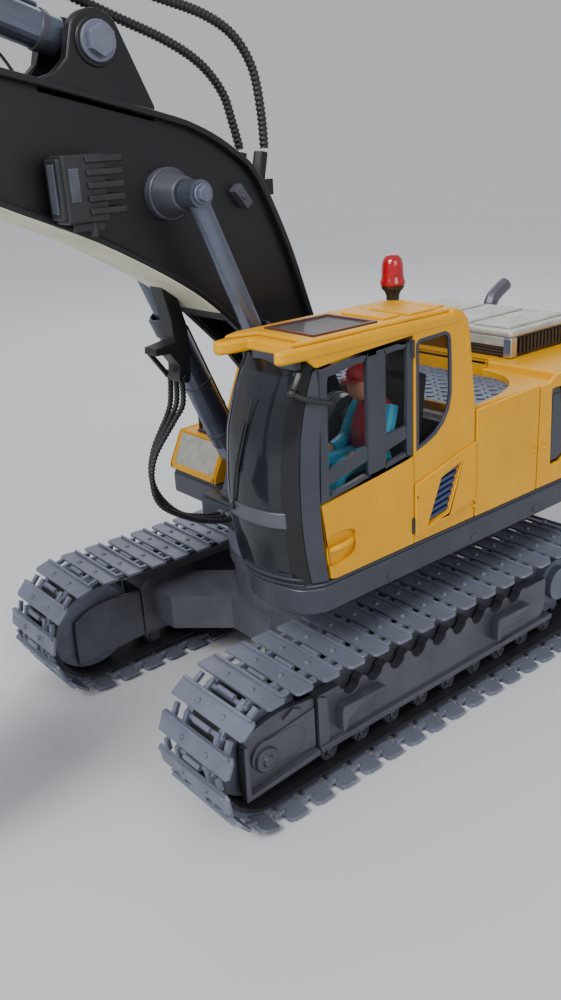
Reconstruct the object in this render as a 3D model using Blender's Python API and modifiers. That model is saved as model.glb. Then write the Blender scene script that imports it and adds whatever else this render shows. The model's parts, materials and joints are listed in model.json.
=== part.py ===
"""Radio-controlled model excavator on tracks.

Lengths are in millimetres and become metres through MM.  +Z is up, -Y is forward
and +X is the operator's left, the cab side.  Every place below is measured from
the slew axis at ground level; ROOT then moves the whole machine back by SLEW_Y,
so that the origin lies under the middle of the model.
"""
import math

import bmesh
import bpy
from mathutils import Matrix, Vector

MM = 0.001
SLEW_Y = 56.3
GAP = 0.3

# Undercarriage
HALF_WIDTH = 92.5
SHOE_WIDTH = 46.8
WHEEL_Y = 100.0
WHEEL_Z = 29.8
BELT_RADIUS = 29.8
BELT_THICKNESS = 4.6
WHEEL_RADIUS = BELT_RADIUS - BELT_THICKNESS - 0.4
FRAME_INNER = 56.0
FRAME_OUTER = 80.0
SPROCKET_TEETH = 13

# House
HOUSE_HALF = 82.0
DECK_LOW = 79.0
DECK_TOP = 91.7
FLOOR_Z = DECK_TOP + GAP
RIGHT_FRONT = -31.0
CAB_INNER = 41.5
HOUSING_TOP = 146.0
HOUSING_REAR = 149.7
TAIL_Y = 186.0

# Front equipment: hinge pins as (y, z)
BOOM_FOOT = (1.0, 134.0)
BOOM_RAM_FOOT = (-24.0, 109.0)
BOOM_RAM_PIN = (-78.6, 237.5)
BOOM_RAM_X = 33.0
BOOM_HALF = 17.5
ARM_PIVOT = (-260.0, 302.0)
ARM_RAM_FOOT = (-101.0, 289.0)
ARM_TILT = math.radians(8.0)
ARM_HALF = 10.6
ARM_TIP_HALF = 8.0
BUCKET_HALF = 31.0
ROCKER_LENGTH = 20.0
ROCKER_ANGLE = math.radians(65.0)
BUCKET_RADIUS = 85.0
SLATE = (0.045, 0.055, 0.075)


# ---------------------------------------------------------------- scene set-up
for leftover in list(bpy.data.objects):
    bpy.data.objects.remove(leftover, do_unlink=True)

PARTS = bpy.data.collections.new("rc_excavator")
CUTTERS = bpy.data.collections.new("rc_excavator_cutters")
for collection in (PARTS, CUTTERS):
    bpy.context.scene.collection.children.link(collection)


def paint(name, colour, roughness, metallic=0.0, alpha=1.0):
    """A Principled material in one colour."""
    material = bpy.data.materials.new(name)
    material.use_nodes = True
    shader = material.node_tree.nodes["Principled BSDF"]
    shader.inputs["Base Color"].default_value = (*colour, 1.0)
    shader.inputs["Roughness"].default_value = roughness
    shader.inputs["Metallic"].default_value = metallic
    shader.inputs["Alpha"].default_value = alpha
    return material


YELLOW = paint("yellow_plastic", (0.78, 0.42, 0.08), 0.45)
GREY = paint("slate_plastic", SLATE, 0.5)
DARK = paint("charcoal_paint", (0.03, 0.032, 0.036), 0.45)
STEEL = paint("blue_grey_paint", (0.12, 0.13, 0.16), 0.4, 0.3)
BLACK = paint("black_plastic", (0.01, 0.01, 0.012), 0.4)
SILVER = paint("silver_paint", (0.5, 0.5, 0.48), 0.4, 0.6)
GLASS = paint("clear_glazing", (0.7, 0.75, 0.8), 0.05, 0.0, 0.3)
RED = paint("red_lens", (0.6, 0.01, 0.01), 0.2)
BLUE = paint("light_blue_plastic", (0.1, 0.5, 0.7), 0.5)

# ---------------------------------------------------------------- bodies
PLACE = {}


def pivot(name, x, y, z, parent=None):
    """An empty on a joint's axis; the machine-space place is kept in PLACE."""
    empty = bpy.data.objects.new(name, None)
    empty.empty_display_size = 0.01
    PARTS.objects.link(empty)
    PLACE[name] = Vector((x, y, z)) * MM
    if parent:
        empty.parent = parent
        empty.location = PLACE[name] - PLACE[parent.name]
    return empty


def mount(obj, empty):
    """Parent obj to empty and keep its shape where it was modelled."""
    obj.parent = empty
    obj.matrix_parent_inverse = Matrix.Translation(-PLACE[empty.name])


def add(name, mesh, material, body):
    """A named part that carries mesh on the body's empty."""
    obj = bpy.data.objects.new(name, mesh)
    PARTS.objects.link(obj)
    if material:
        mesh.materials.append(material)
    mount(obj, body)
    return obj


def as_tool(obj):
    """Move obj to the cutters."""
    PARTS.objects.unlink(obj)
    CUTTERS.objects.link(obj)
    obj.hide_render = True
    obj.display_type = "WIRE"
    return obj


def combine(obj, tool, operation):
    """Boolean tool into obj."""
    modifier = obj.modifiers.new(operation.lower(), "BOOLEAN")
    modifier.operation = operation
    modifier.solver = "EXACT"
    modifier.object = as_tool(tool)
    return obj


def cut(obj, *tools):
    for tool in tools:
        combine(obj, tool, "DIFFERENCE")
    return obj


def join(obj, *tools):
    for tool in tools:
        combine(obj, tool, "UNION")
    return obj


def bevel(obj, width, segments=2, angle=40.0):
    modifier = obj.modifiers.new("bevel", "BEVEL")
    modifier.width = width * MM
    modifier.segments = segments
    modifier.limit_method = "ANGLE"
    modifier.angle_limit = math.radians(angle)
    return obj


def smooth_sides(mesh, angle=35.0):
    mesh.shade_smooth()
    mesh.set_sharp_from_angle(angle=math.radians(angle))


# ---------------------------------------------------------------- solids
def box(name, low, high, material=None, body=None):
    """A cuboid between two corners."""
    low, high = Vector(low) * MM, Vector(high) * MM
    bm = bmesh.new()
    place = Matrix.Translation((low + high) / 2) @ Matrix.Diagonal((*(high - low), 1.0))
    bmesh.ops.create_cube(bm, size=1.0, matrix=place)
    mesh = bpy.data.meshes.new(name)
    bm.to_mesh(mesh)
    bm.free()
    return add(name, mesh, material, body or ROOT)


def rod(name, start, end, radius, material=None, body=None, end_radius=None, sides=24):
    """A round bar or cone between two points."""
    start, end = Vector(start) * MM, Vector(end) * MM
    turn = (end - start).to_track_quat("Z", "Y").to_matrix().to_4x4()
    bm = bmesh.new()
    bmesh.ops.create_cone(
        bm, cap_ends=True, segments=sides, radius1=radius * MM,
        radius2=(radius if end_radius is None else end_radius) * MM,
        depth=(end - start).length, matrix=Matrix.Translation((start + end) / 2) @ turn)
    mesh = bpy.data.meshes.new(name)
    bm.to_mesh(mesh)
    bm.free()
    smooth_sides(mesh)
    return add(name, mesh, material, body or ROOT)


def cross_rod(name, centre, x_start, x_end, radius, material=None, body=None, sides=24, end_radius=None):
    """A round bar along X through centre (y, z)."""
    return rod(name, (x_start, *centre), (x_end, *centre), radius, material, body, end_radius, sides)


def curve_mesh(curve, name):
    """The curve's solid as a closed mesh."""
    holder = bpy.data.objects.new(name + "_curve", curve)
    CUTTERS.objects.link(holder)
    evaluated = holder.evaluated_get(bpy.context.evaluated_depsgraph_get())
    mesh = bpy.data.meshes.new_from_object(evaluated)
    mesh.name = name
    bpy.data.objects.remove(holder)
    bpy.data.curves.remove(curve)
    bm = bmesh.new()
    bm.from_mesh(mesh)
    bmesh.ops.remove_doubles(bm, verts=bm.verts, dist=0.00001)
    bm.to_mesh(mesh)
    bm.free()
    return mesh


def slab(name, outline, low, high, material=None, body=None, holes=(), axis="X"):
    """A flat outline with holes, extruded from low to high along axis.

    Along X the outline's points are (y, z); along Z they are (x, y).
    """
    curve = bpy.data.curves.new(name, "CURVE")
    curve.dimensions = "2D"
    curve.fill_mode = "BOTH"
    curve.extrude = abs(high - low) / 2 * MM
    for points in (outline, *holes):
        spline = curve.splines.new("POLY")
        spline.points.add(len(points) - 1)
        for target, (u, v) in zip(spline.points, points):
            target.co = (u * MM, v * MM, 0.0, 1.0)
        spline.use_cyclic_u = True
    mesh = curve_mesh(curve, name)
    middle = (low + high) / 2 * MM
    if axis == "X":
        turn = Matrix(((0, 0, 1, middle), (1, 0, 0, 0), (0, 1, 0, 0), (0, 0, 0, 1)))
    else:
        turn = Matrix.Translation((0, 0, middle))
    mesh.transform(turn)
    smooth_sides(mesh, 30.0)
    return add(name, mesh, material, body or ROOT)


def turned(name, profile, centre, material, body, axis="X", steps=32, closed=False):
    """A profile of (radius, height) points, running down its outer side, turned about axis."""
    mesh = bpy.data.meshes.new(name)
    edges = [(i, i + 1) for i in range(len(profile) - 1)]
    if closed:
        edges.append((len(profile) - 1, 0))
    mesh.from_pydata([(r * MM, 0.0, h * MM) for r, h in profile], edges, [])
    obj = add(name, mesh, material, body)
    obj.location = Vector(centre) * MM
    if axis == "X":
        obj.rotation_euler = (0.0, math.pi / 2, 0.0)
    screw = obj.modifiers.new("turn", "SCREW")
    screw.axis = "Z"
    screw.steps = steps
    screw.render_steps = steps
    screw.use_merge_vertices = True
    screw.merge_threshold = 0.00001
    screw.use_smooth_shade = False
    return obj


def hose(name, route, radius, material, body):
    """A round hose along a smooth line through the route's points."""
    points = spline_points(route, 4)
    curve = bpy.data.curves.new(name, "CURVE")
    curve.dimensions = "3D"
    curve.bevel_depth = radius * MM
    curve.bevel_resolution = 2
    curve.use_fill_caps = True
    spline = curve.splines.new("POLY")
    spline.points.add(len(points) - 1)
    for target, point in zip(spline.points, points):
        target.co = (*(Vector(point) * MM), 1.0)
    mesh = curve_mesh(curve, name)
    smooth_sides(mesh)
    return add(name, mesh, material, body)


# ---------------------------------------------------------------- outlines
def spline_points(points, steps, cyclic=False):
    """Catmull-Rom line through points of any dimension."""
    count = len(points)
    result = []
    for i in range(count if cyclic else count - 1):
        if cyclic:
            a, b, c, d = (points[(i + k) % count] for k in (-1, 0, 1, 2))
        else:
            a, b = points[max(i - 1, 0)], points[i]
            c, d = points[i + 1], points[min(i + 2, count - 1)]
        for step in range(steps):
            t = step / steps
            result.append(tuple(
                0.5 * (2 * q + (r - p) * t + (2 * p - 5 * q + 4 * r - s) * t * t
                       + (3 * q - p - 3 * r + s) * t ** 3)
                for p, q, r, s in zip(a, b, c, d)))
    if not cyclic:
        result.append(tuple(points[-1]))
    return result


def arc(centre, radius, start, end, steps=8):
    """Points on a circle from start to end, in degrees."""
    angles = [math.radians(start + (end - start) * i / steps) for i in range(steps + 1)]
    return [(centre[0] + radius * math.cos(a), centre[1] + radius * math.sin(a)) for a in angles]


def stadium(radius, steps=12):
    """The line round the two track wheels at a distance of radius."""
    return (arc((WHEEL_Y, WHEEL_Z), radius, -90, 90, steps)
            + arc((-WHEEL_Y, WHEEL_Z), radius, 90, 270, steps))


def gear(centre, tip, root, teeth):
    """A toothed outline."""
    points = []
    for tooth in range(teeth):
        for share, radius in ((0.0, root), (0.3, root), (0.45, tip), (0.75, tip), (0.9, root)):
            angle = 2 * math.pi * (tooth + share) / teeth
            points.append((centre[0] + radius * math.cos(angle), centre[1] + radius * math.sin(angle)))
    return points


def capsule(a, b, radius, steps=8):
    """Two equal circles joined by their tangents."""
    heading = math.degrees(math.atan2(b[1] - a[1], b[0] - a[0]))
    return (arc(b, radius, heading - 90, heading + 90, steps)
            + arc(a, radius, heading + 90, heading + 270, steps))


def inset(outline, distance):
    """An anticlockwise outline moved inwards by distance."""
    result = []
    count = len(outline)
    for i in range(count):
        before, here, after = (Vector(outline[(i + k) % count]) for k in (-1, 0, 1))
        normal = Vector((0.0, 0.0))
        for edge in ((here - before).normalized(), (after - here).normalized()):
            normal += Vector((-edge.y, edge.x))
        result.append(tuple(here + normal.normalized() * distance))
    return result


def along(start, end, distance):
    """The point at distance from start towards end."""
    start, end = Vector(start), Vector(end)
    return tuple(start + (end - start).normalized() * distance)


def arm_point(down, out):
    """A place on the arm: down from its pivot, and out from its line, away from the cab."""
    down_way = Vector((-math.sin(ARM_TILT), -math.cos(ARM_TILT)))
    out_way = Vector((-math.cos(ARM_TILT), math.sin(ARM_TILT)))
    return tuple(Vector(ARM_PIVOT) + down_way * down + out_way * out)


ARM_RAM_PIN = arm_point(-39.0, 0.0)
BUCKET_RAM_FOOT = arm_point(22.0, 27.0)
ROCKER_PIVOT = arm_point(150.0, 2.0)
ROCKER_PIN = arm_point(150.0 + ROCKER_LENGTH * math.sin(ROCKER_ANGLE),
                       2.0 + ROCKER_LENGTH * math.cos(ROCKER_ANGLE))
BUCKET_PIVOT = arm_point(178.0, -4.0)
BUCKET_LINK_PIN = tuple(Vector(BUCKET_PIVOT) + Vector(ROCKER_PIN) - Vector(ROCKER_PIVOT))
LIP_HEADING = math.radians(345.0) - ARM_TILT


def bucket_point(lip, back):
    """A place in the bucket: along the line from its pivot to the teeth, and behind that line."""
    lip_way = Vector((math.cos(LIP_HEADING), math.sin(LIP_HEADING)))
    back_way = Vector((math.sin(LIP_HEADING), -math.cos(LIP_HEADING)))
    return tuple(Vector(BUCKET_PIVOT) + lip_way * lip + back_way * back)


# ---------------------------------------------------------------- pivots
ROOT = pivot("undercarriage_origin", 0, 0, 0)
ROOT.location = (0.0, SLEW_Y * MM, 0.0)
HOUSE = pivot("slew_pivot", 0, 0, DECK_LOW, ROOT)
PINION = pivot("slew_pinion_pivot", 0, 25, DECK_LOW, HOUSE)
DOOR = pivot("cab_door_pivot", HOUSE_HALF, -16.1, 94, HOUSE)
SWITCH = pivot("power_switch_pivot", -4, 163, 78, HOUSE)
BOOM = pivot("boom_pivot", 0, *BOOM_FOOT, HOUSE)
ARM = pivot("arm_pivot", 0, *ARM_PIVOT, BOOM)
BUCKET = pivot("bucket_pivot", 0, *BUCKET_PIVOT, ARM)
ROCKER = pivot("rocker_pivot", 0, *ROCKER_PIVOT, ARM)
LINK = pivot("link_pivot", 0, *ROCKER_PIN, ROCKER)
SIDES = (("left", 1), ("right", -1))


# ---------------------------------------------------------------- undercarriage
def build_centre_frame():
    quarter = [(16, 44), (38, 66), (FRAME_INNER - 0.4, 66), (FRAME_INNER - 0.4, 40), (36, 22)]
    plan = quarter
    plan = plan + [(x, -y) for x, y in reversed(quarter)]
    plan = plan + [(-x, y) for x, y in reversed(plan)]
    frame = slab("centre_frame", plan, 24.0, 42.0, STEEL, axis="Z")
    join(frame, rod("pedestal", (0, 0, 38), (0, 0, 60), 42.0, sides=40))


def build_slew_ring():
    for name, low, high, body in (("slew_ring_lower", 60.3, 67.0, ROOT),
                                  ("slew_ring_upper", 67.4, 78.7, HOUSE)):
        profile = [(33, high), (44, high), (44, low), (33, low)]
        turned(name, profile, (0, 0, 0), STEEL, body, axis="Z", steps=48, closed=True)


def build_track(side, sign):
    inner, outer = sign * FRAME_INNER, sign * FRAME_OUTER
    wheel_front, wheel_rear = (-WHEEL_Y, WHEEL_Z), (WHEEL_Y, WHEEL_Z)

    outline = [(-72, 19), (-66, 17.5), (68, 17.5), (73, 22), (73, 42), (68, 47), (-66, 47), (-72, 44)]
    frame = slab(f"track_frame_{side}", outline, inner, outer, STEEL)
    plate = capsule((60, WHEEL_Z), wheel_rear, 15.0)
    join(frame, slab(f"motor_plate_{side}", plate, inner, sign * 60.0))
    cut(frame, cross_rod(f"shaft_bore_{side}", wheel_rear, sign * 50, sign * 62, 5.4))

    belt_edge = HALF_WIDTH - SHOE_WIDTH
    slab(f"track_belt_{side}", stadium(BELT_RADIUS), sign * belt_edge, sign * HALF_WIDTH, STEEL,
         holes=(stadium(BELT_RADIUS - BELT_THICKNESS),))

    yoke_outline = [(-72.3, 15.5), (-72.3, 39.5), (-88, 41.5), (-104, 39.5), (-110.5, 36), (-111, 14)]
    yoke = slab(f"idler_yoke_{side}", yoke_outline, sign * 57, sign * 79.5, STEEL)
    slot_low, slot_high = sorted((sign * 60.2, sign * 76.0))
    cut(yoke, box(f"yoke_slot_{side}", (slot_low, -140, 5), (slot_high, -74.9, 55)))
    join(yoke, cross_rod(f"yoke_boss_{side}", wheel_front, sign * 78.5, sign * 82.5, 7.0))
    cut(yoke, cross_rod(f"axle_bore_{side}", wheel_front, sign * 55, sign * 79.2, 4.4))

    idler = pivot(f"idler_pivot_{side}", sign * 68, *wheel_front, ROOT)
    half_profile = [(0, 10.8), (4, 10.8), (4, 7), (20, 6), (22.4, 6), (22.4, 3), (WHEEL_RADIUS, 2.5)]
    profile = half_profile + [(r, -h) for r, h in reversed(half_profile)]
    turned(f"idler_{side}", profile, (sign * 68, *wheel_front), STEEL, idler)

    drive = pivot(f"sprocket_pivot_{side}", sign * 68, *wheel_rear, ROOT)
    teeth = gear(wheel_rear, WHEEL_RADIUS, 20.5, SPROCKET_TEETH)
    sprocket = slab(f"sprocket_{side}", teeth, sign * 66, sign * 70, STEEL, drive)
    join(sprocket, cross_rod(f"hub_{side}", wheel_rear, sign * 60.4, sign * 75, 12.0, sides=32, body=drive),
         cross_rod(f"shaft_{side}", wheel_rear, sign * 56.4, sign * 61, 5.0, body=drive),
         cross_rod(f"hub_cap_{side}", wheel_rear, sign * 74.5, sign * 79, 9.0, body=drive))
    cross_rod(f"travel_motor_{side}", wheel_rear, sign * 46.5, sign * 55.7, 14.0, DARK)


# ---------------------------------------------------------------- house
def build_deck():
    cab_front = [(40.5, -72), (46, -76), (60, -78.5), (72, -77), (78.5, -73), (HOUSE_HALF, -66)]
    plan = ([(-HOUSE_HALF, HOUSING_REAR), (-HOUSE_HALF, -28), (-79, RIGHT_FRONT), (-40.5, RIGHT_FRONT),
             (-38, -42), (40.5, -42)]
            + cab_front + [(HOUSE_HALF, HOUSING_REAR)])
    deck = slab("deck", plan, DECK_LOW, DECK_TOP, GREY, HOUSE, axis="Z")
    cut(deck, rod("pinion_shaft_hole", (0, 25, 70), (0, 25, 95), 3.6, body=HOUSE))
    pinion = rod("slew_pinion", (0, 25, 61.5), (0, 25, 75), 6.5, STEEL, PINION)
    join(pinion, rod("pinion_shaft", (0, 25, 74), (0, 25, 91), 3.0, body=PINION))
    rod("slew_motor", (0, 25, FLOOR_Z), (0, 25, 118), 12.0, DARK, HOUSE)


def build_boom_bracket():
    cheek = ([(-38, FLOOR_Z), (24, FLOOR_Z), (24, 99)] + arc(BOOM_FOOT, 10, -10, 150)
             + arc(BOOM_RAM_FOOT, 8, 110, 190, 5))
    base = box("boom_bracket", (-26, -38, FLOOR_Z), (26, 10, 95), STEEL, HOUSE)
    for side, sign in SIDES:
        join(base, slab(f"cheek_{side}", cheek, sign * 21, sign * 26, body=HOUSE),
             cross_rod(f"ram_foot_pin_{side}", BOOM_RAM_FOOT, sign * 25, sign * 38.5, 2.6, body=HOUSE, sides=16))
    cut(base, cross_rod("foot_bore", BOOM_FOOT, -30, 30, 3.3, body=HOUSE))
    pin = cross_rod("boom_foot_pin", BOOM_FOOT, -28.5, 28.5, 3.0, STEEL, HOUSE)
    for side, sign in SIDES:
        join(pin, cross_rod(f"foot_pin_head_{side}", BOOM_FOOT, sign * 26.4, sign * 29, 5.5, body=HOUSE, sides=6))


CAB_OUTLINE = [(-62, FLOOR_Z), (24, FLOOR_Z), (23, 144), (20.5, 165), (18, 183), (16, 187.4), (11, 188.6),
               (-40, 188.6), (-70, 187), (-79.4, 184.5), (-79.4, 182.5), (-69.6, 176), (-67.3, 124.3)]
CAB_INSIDE = [(-59.5, 94.5), (21.2, 94.5), (19.6, 144), (14.5, 181), (9, 185.4), (-63, 184), (-66.8, 175),
              (-64.6, 124)]
DOOR_OPENING = [(-59, 94.4), (-15.6, 94.4), (-15.6, 180.3), (-66, 176), (-64, 124)]
FRONT_PANE = [(-61, 128), (-38, 131.2), (-38, 176.5), (-62.8, 174)]
REAR_PANE = [(-34, 131.8), (-18.6, 134), (-18.6, 178), (-34, 177)]
QUARTER_WINDOW = [(-12.4, 136), (-3, 139.5), (4, 146), (7, 154), (6.5, 176), (4, 179.6), (-12.4, 180.4)]
RIGHT_WINDOW = [(-59, 126), (2, 134), (4, 178), (-61, 173)]


SCREEN_PLAN = [(43.2, -81.4), (47, -83.2), (54, -84.2), (62, -84.0), (70, -82.4), (74, -80.4), (76.5, -77.8)]
SCREEN_BOW = [(93.0, 4.5), (101, 2.5), (110, 0.9), (122, 0), (134, 0), (143, 0.8), (152, 2), (162, 5), (169, 8),
              (175.4, 9.6)]


def bowed_pane(name, plan, bow, thickness, material, body):
    """A curved pane on plan, set back at each height by bow's (z, distance)."""
    bm = bmesh.new()
    line = plan + [(x, y + thickness) for x, y in reversed(plan)]
    rings = [[bm.verts.new(Vector((x, y + back, z)) * MM) for x, y in line] for z, back in bow]
    count = len(line)
    for lower, upper in zip(rings, rings[1:]):
        for i in range(count):
            bm.faces.new((lower[i], lower[(i + 1) % count], upper[(i + 1) % count], upper[i]))
    bm.faces.new(rings[0])
    bm.faces.new(rings[-1])
    bmesh.ops.recalc_face_normals(bm, faces=bm.faces)
    mesh = bpy.data.meshes.new(name)
    bm.to_mesh(mesh)
    bm.free()
    return add(name, mesh, material, body)


def build_cab():
    shell = slab("cab_shell", CAB_OUTLINE, CAB_INNER, HOUSE_HALF, YELLOW, HOUSE)
    cut(shell, slab("cab_room", CAB_INSIDE, CAB_INNER + 2.5, HOUSE_HALF - 2.6, body=HOUSE),
        slab("door_opening", DOOR_OPENING, 78, 84, body=HOUSE),
        slab("quarter_opening", QUARTER_WINDOW, 78, 84, body=HOUSE),
        slab("right_opening", RIGHT_WINDOW, 40, 45, body=HOUSE),
        box("front_opening", (46.5, -90, 97), (77, -56, 176), body=HOUSE),
        box("rear_opening", (50, 0, 142), (74, 30, 176), body=HOUSE),
        box("visor_recess", (49, -90, 170), (76.5, -70.5, 195), body=HOUSE),
        box("hatch_opening", (48.5, -60, 180), (76.5, -31, 195), body=HOUSE))

    bowed_pane("windscreen", SCREEN_PLAN, SCREEN_BOW, 1.5, BLACK, HOUSE)

    door_outline = inset(DOOR_OPENING, 0.45)
    slab("cab_door", door_outline, 79.6, HOUSE_HALF, YELLOW, DOOR, holes=(FRONT_PANE, REAR_PANE))
    pane = [(-60.5, 128.6), (-38.4, 131.7), (-38.4, 176), (-62.2, 173.6)]
    slab("door_glass", pane, 80.2, 81.2, GLASS, DOOR)
    slab("quarter_glass", inset(QUARTER_WINDOW, 0.4), 80.2, 81.2, GLASS, HOUSE)
    box("roof_hatch", (48.9, -59.6, 185.9), (76.1, -31.4, 187.4), GLASS, HOUSE)


def build_cab_inside():
    seat_outline = [(-38, 95), (-8, 95), (-8, 112), (-1, 168), (-8, 170), (-16, 122), (-38, 122)]
    slab("driver_seat", seat_outline, 51, 73, BLACK, HOUSE)
    torso = [(-17, 123), (-14, 146), (-9.5, 165), (-24, 165), (-26, 146), (-29, 136), (-44, 136),
             (-50, 132), (-50, 110), (-43.5, 110), (-43, 122.8)]
    driver = slab("driver_figure", torso, 55, 69, BLUE, HOUSE)
    join(driver, rod("driver_head", (62, -17, 162), (62, -17, 178), 6.2, end_radius=4.6, body=HOUSE, sides=16))
    console = box("control_console", (45.4, -40, 95), (50.6, -12, 128), BLACK, HOUSE)
    join(console, rod("control_lever", (48, -36, 127), (48, -40, 141), 1.4, body=HOUSE, sides=10))


def build_beacon():
    place = (46, 10.5)
    turned("beacon_base", [(0, 193), (4.4, 193), (5.2, 191.5), (5.2, 188.9), (0, 188.9)], (*place, 0),
           BLACK, HOUSE, axis="Z", steps=24)
    lens = [(0, 207), (2.4, 206.4), (4.2, 204.5), (4.9, 201), (5.1, 193.3), (0, 193.3)]
    turned("beacon_lens", lens, (*place, 0), RED, HOUSE, axis="Z", steps=24)


def build_housings():
    left_side = [(24.6, FLOOR_Z), (HOUSING_REAR, FLOOR_Z), (HOUSING_REAR, HOUSING_TOP), (76, HOUSING_TOP),
                 (60, 144.6), (24.6, 143.4)]
    left = slab("left_housing", left_side, 40.0, HOUSE_HALF, YELLOW, HOUSE)
    cut(left, box("tray_corner", (35, 20, 138), (65, 79, 150), body=HOUSE),
        box("left_bay", (42.5, 27, 85), (79, 136, 135), body=HOUSE))
    engine = box("engine_housing", (-39.7, 84, FLOOR_Z), (39.7, HOUSING_REAR, HOUSING_TOP), YELLOW, HOUSE)
    cut(engine, box("engine_bay", (-37, 87, 85), (37, 146, 142), body=HOUSE))
    right_side = [(RIGHT_FRONT, FLOOR_Z), (HOUSING_REAR, FLOOR_Z), (HOUSING_REAR, HOUSING_TOP),
                  (22, HOUSING_TOP), (10, 117), (4, 113), (-22.5, 112), (RIGHT_FRONT, 95)]
    right = slab("right_housing", right_side, -HOUSE_HALF, -40.0, YELLOW, HOUSE)
    cut(right, box("right_bay", (-79, -18, 85), (-42.5, 146, 108), body=HOUSE))
    box("tray_floor", (-39.6, 26, 138.3), (64.7, 78.7, 140), STEEL, HOUSE)
    hood = box("engine_hood", (-48, 92, HOUSING_TOP + GAP), (48, HOUSING_REAR, 161), SILVER, HOUSE)
    bevel(hood, 3.0, 3)
    box("battery_pack", (-36, 46, FLOOR_Z), (36, 78, 116), BLACK, HOUSE)
    pipe = [(-16, 157, 150.4), (-16, 157, 157), (-16, 159.5, 161.5), (-16, 164, 164.6), (-16, 171, 168)]
    hose("exhaust_pipe", pipe, 4.0, STEEL, HOUSE)


def build_counterweight():
    front = HOUSING_REAR + 0.6
    right_half = [(81, front), (81, 166), (76, 176), (62, 182), (34, 185.4), (0, TAIL_Y)]
    plan = spline_points(right_half, 2) + spline_points([(-x, y) for x, y in reversed(right_half)], 2)[1:]
    weight = slab("counterweight", plan, DECK_LOW, 150.0, YELLOW, HOUSE, axis="Z")
    cut(weight, box("switch_slot", (-7, 161, 70), (7, 165, 82), body=HOUSE))
    box("power_switch", (-6.5, 161.4, 76.5), (-1.5, 164.6, 81.5), BLACK, SWITCH)


# ---------------------------------------------------------------- front equipment
def build_ram(name, foot, pin, x, material, barrel_radius, bore_radius, rod_radius, barrel_end, rod_length,
              bore_start, eye_half, foot_bore, pin_bore, foot_body, pin_body):
    """A hydraulic ram: barrel on foot_body, rod on pin_body, pinned at foot and pin."""
    barrel_pivot = pivot(f"{name}_barrel_pivot", x, *foot, foot_body)
    rod_pivot = pivot(f"{name}_rod_pivot", x, *pin, pin_body)
    span = (Vector(pin) - Vector(foot)).length
    barrel = rod(f"{name}_barrel", (x, *along(foot, pin, 8.5)), (x, *along(foot, pin, barrel_end)),
                 barrel_radius, material, barrel_pivot)
    eye = capsule(foot, along(foot, pin, 10), 4.8)
    join(barrel, slab(f"{name}_barrel_eye", eye, x - eye_half, x + eye_half, body=barrel_pivot))
    cut(barrel, cross_rod(f"{name}_foot_bore", foot, x - 12, x + 12, foot_bore, body=barrel_pivot, sides=16),
        rod(f"{name}_bore", (x, *along(foot, pin, bore_start)), (x, *along(foot, pin, barrel_end + 5)),
            bore_radius, body=barrel_pivot))
    plunger = rod(f"{name}_rod", (x, *along(foot, pin, span - rod_length)), (x, *along(foot, pin, span - 1)),
                  rod_radius, material, rod_pivot)
    join(plunger, cross_rod(f"{name}_rod_eye", pin, x - eye_half, x + eye_half, 5.0, body=rod_pivot))
    cut(plunger, cross_rod(f"{name}_pin_bore", pin, x - 12, x + 12, pin_bore, body=rod_pivot, sides=16))


BOOM_TOP = [(-1.6, 160), (-10.6, 185), (-21.3, 214.6), (-34.8, 241.3), (-47.4, 252.6), (-63.1, 261),
            (-81.5, 266.6), (-139, 280.9), (-205, 297)]
BOOM_BELLY = [(-205, 265.5), (-146.6, 238.6), (-111.3, 223), (-79.7, 205), (-59.9, 190), (-36, 166)]


def build_boom():
    outline = (arc(BOOM_FOOT, 9.5, 215, 380, 8) + spline_points(BOOM_TOP, 2)
               + arc(ARM_PIVOT, 11.5, 80, 290, 8) + spline_points(BOOM_BELLY, 2))
    boom = slab("boom", outline, -BOOM_HALF, BOOM_HALF, DARK, BOOM)
    hollow = ([(-36, 172), (-14, 176)] + spline_points(BOOM_TOP, 2)[2:] + [(-236, 303), (-236, 283)]
              + spline_points(BOOM_BELLY, 2)[:-1])
    cut(boom, slab("boom_hollow", inset(hollow, 3.2), -BOOM_HALF + 3, BOOM_HALF - 3, body=BOOM),
        box("arm_slot", (-11.1, -290, 260), (11.1, -226, 340), body=BOOM))
    join(boom, cross_rod("foot_boss", BOOM_FOOT, -20.6, 20.6, 8.5, body=BOOM))
    cut(boom, cross_rod("boom_foot_bore", BOOM_FOOT, -30, 30, 3.4, body=BOOM))
    bracket = ([(-80, 262), (-79.6, 268)] + arc(ARM_RAM_FOOT, 10.5, 20, 150)
               + [(-113, 284), (-118, 279.6), (-126, 277.2), (-126, 273)])
    for side, sign in SIDES:
        join(boom, slab(f"ram_cheek_{side}", bracket, sign * 9, sign * 14, body=BOOM),
             cross_rod(f"ram_boss_{side}", BOOM_RAM_PIN, sign * 16, sign * 27.5, 9.0, body=BOOM, end_radius=6.5),
             cross_rod(f"ram_pin_{side}", BOOM_RAM_PIN, sign * 26, sign * 39, 2.6, body=BOOM, sides=16),
             cross_rod(f"ram_pin_head_{side}", BOOM_RAM_PIN, sign * 37.9, sign * 40.4, 4.2, body=BOOM, sides=6))
        join(boom, cross_rod(f"arm_pin_head_{side}", ARM_PIVOT, sign * 17, sign * 20, 5.2, body=BOOM, sides=6))
    join(boom, cross_rod("arm_ram_pin", ARM_RAM_FOOT, -10, 10, 2.6, body=BOOM, sides=16),
         cross_rod("arm_pivot_pin", ARM_PIVOT, -14, 14, 3.0, body=BOOM, sides=16))
    hanger = [(-74, 204), (-66, 197), (-62, 182), (-62.4, 160.4), (-68, 158.8), (-79.2, 172.4), (-79, 175.4),
              (-69.4, 177), (-70, 186)]
    join(boom, slab("hose_hanger", hanger, -14.2, -5, body=BOOM))


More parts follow.
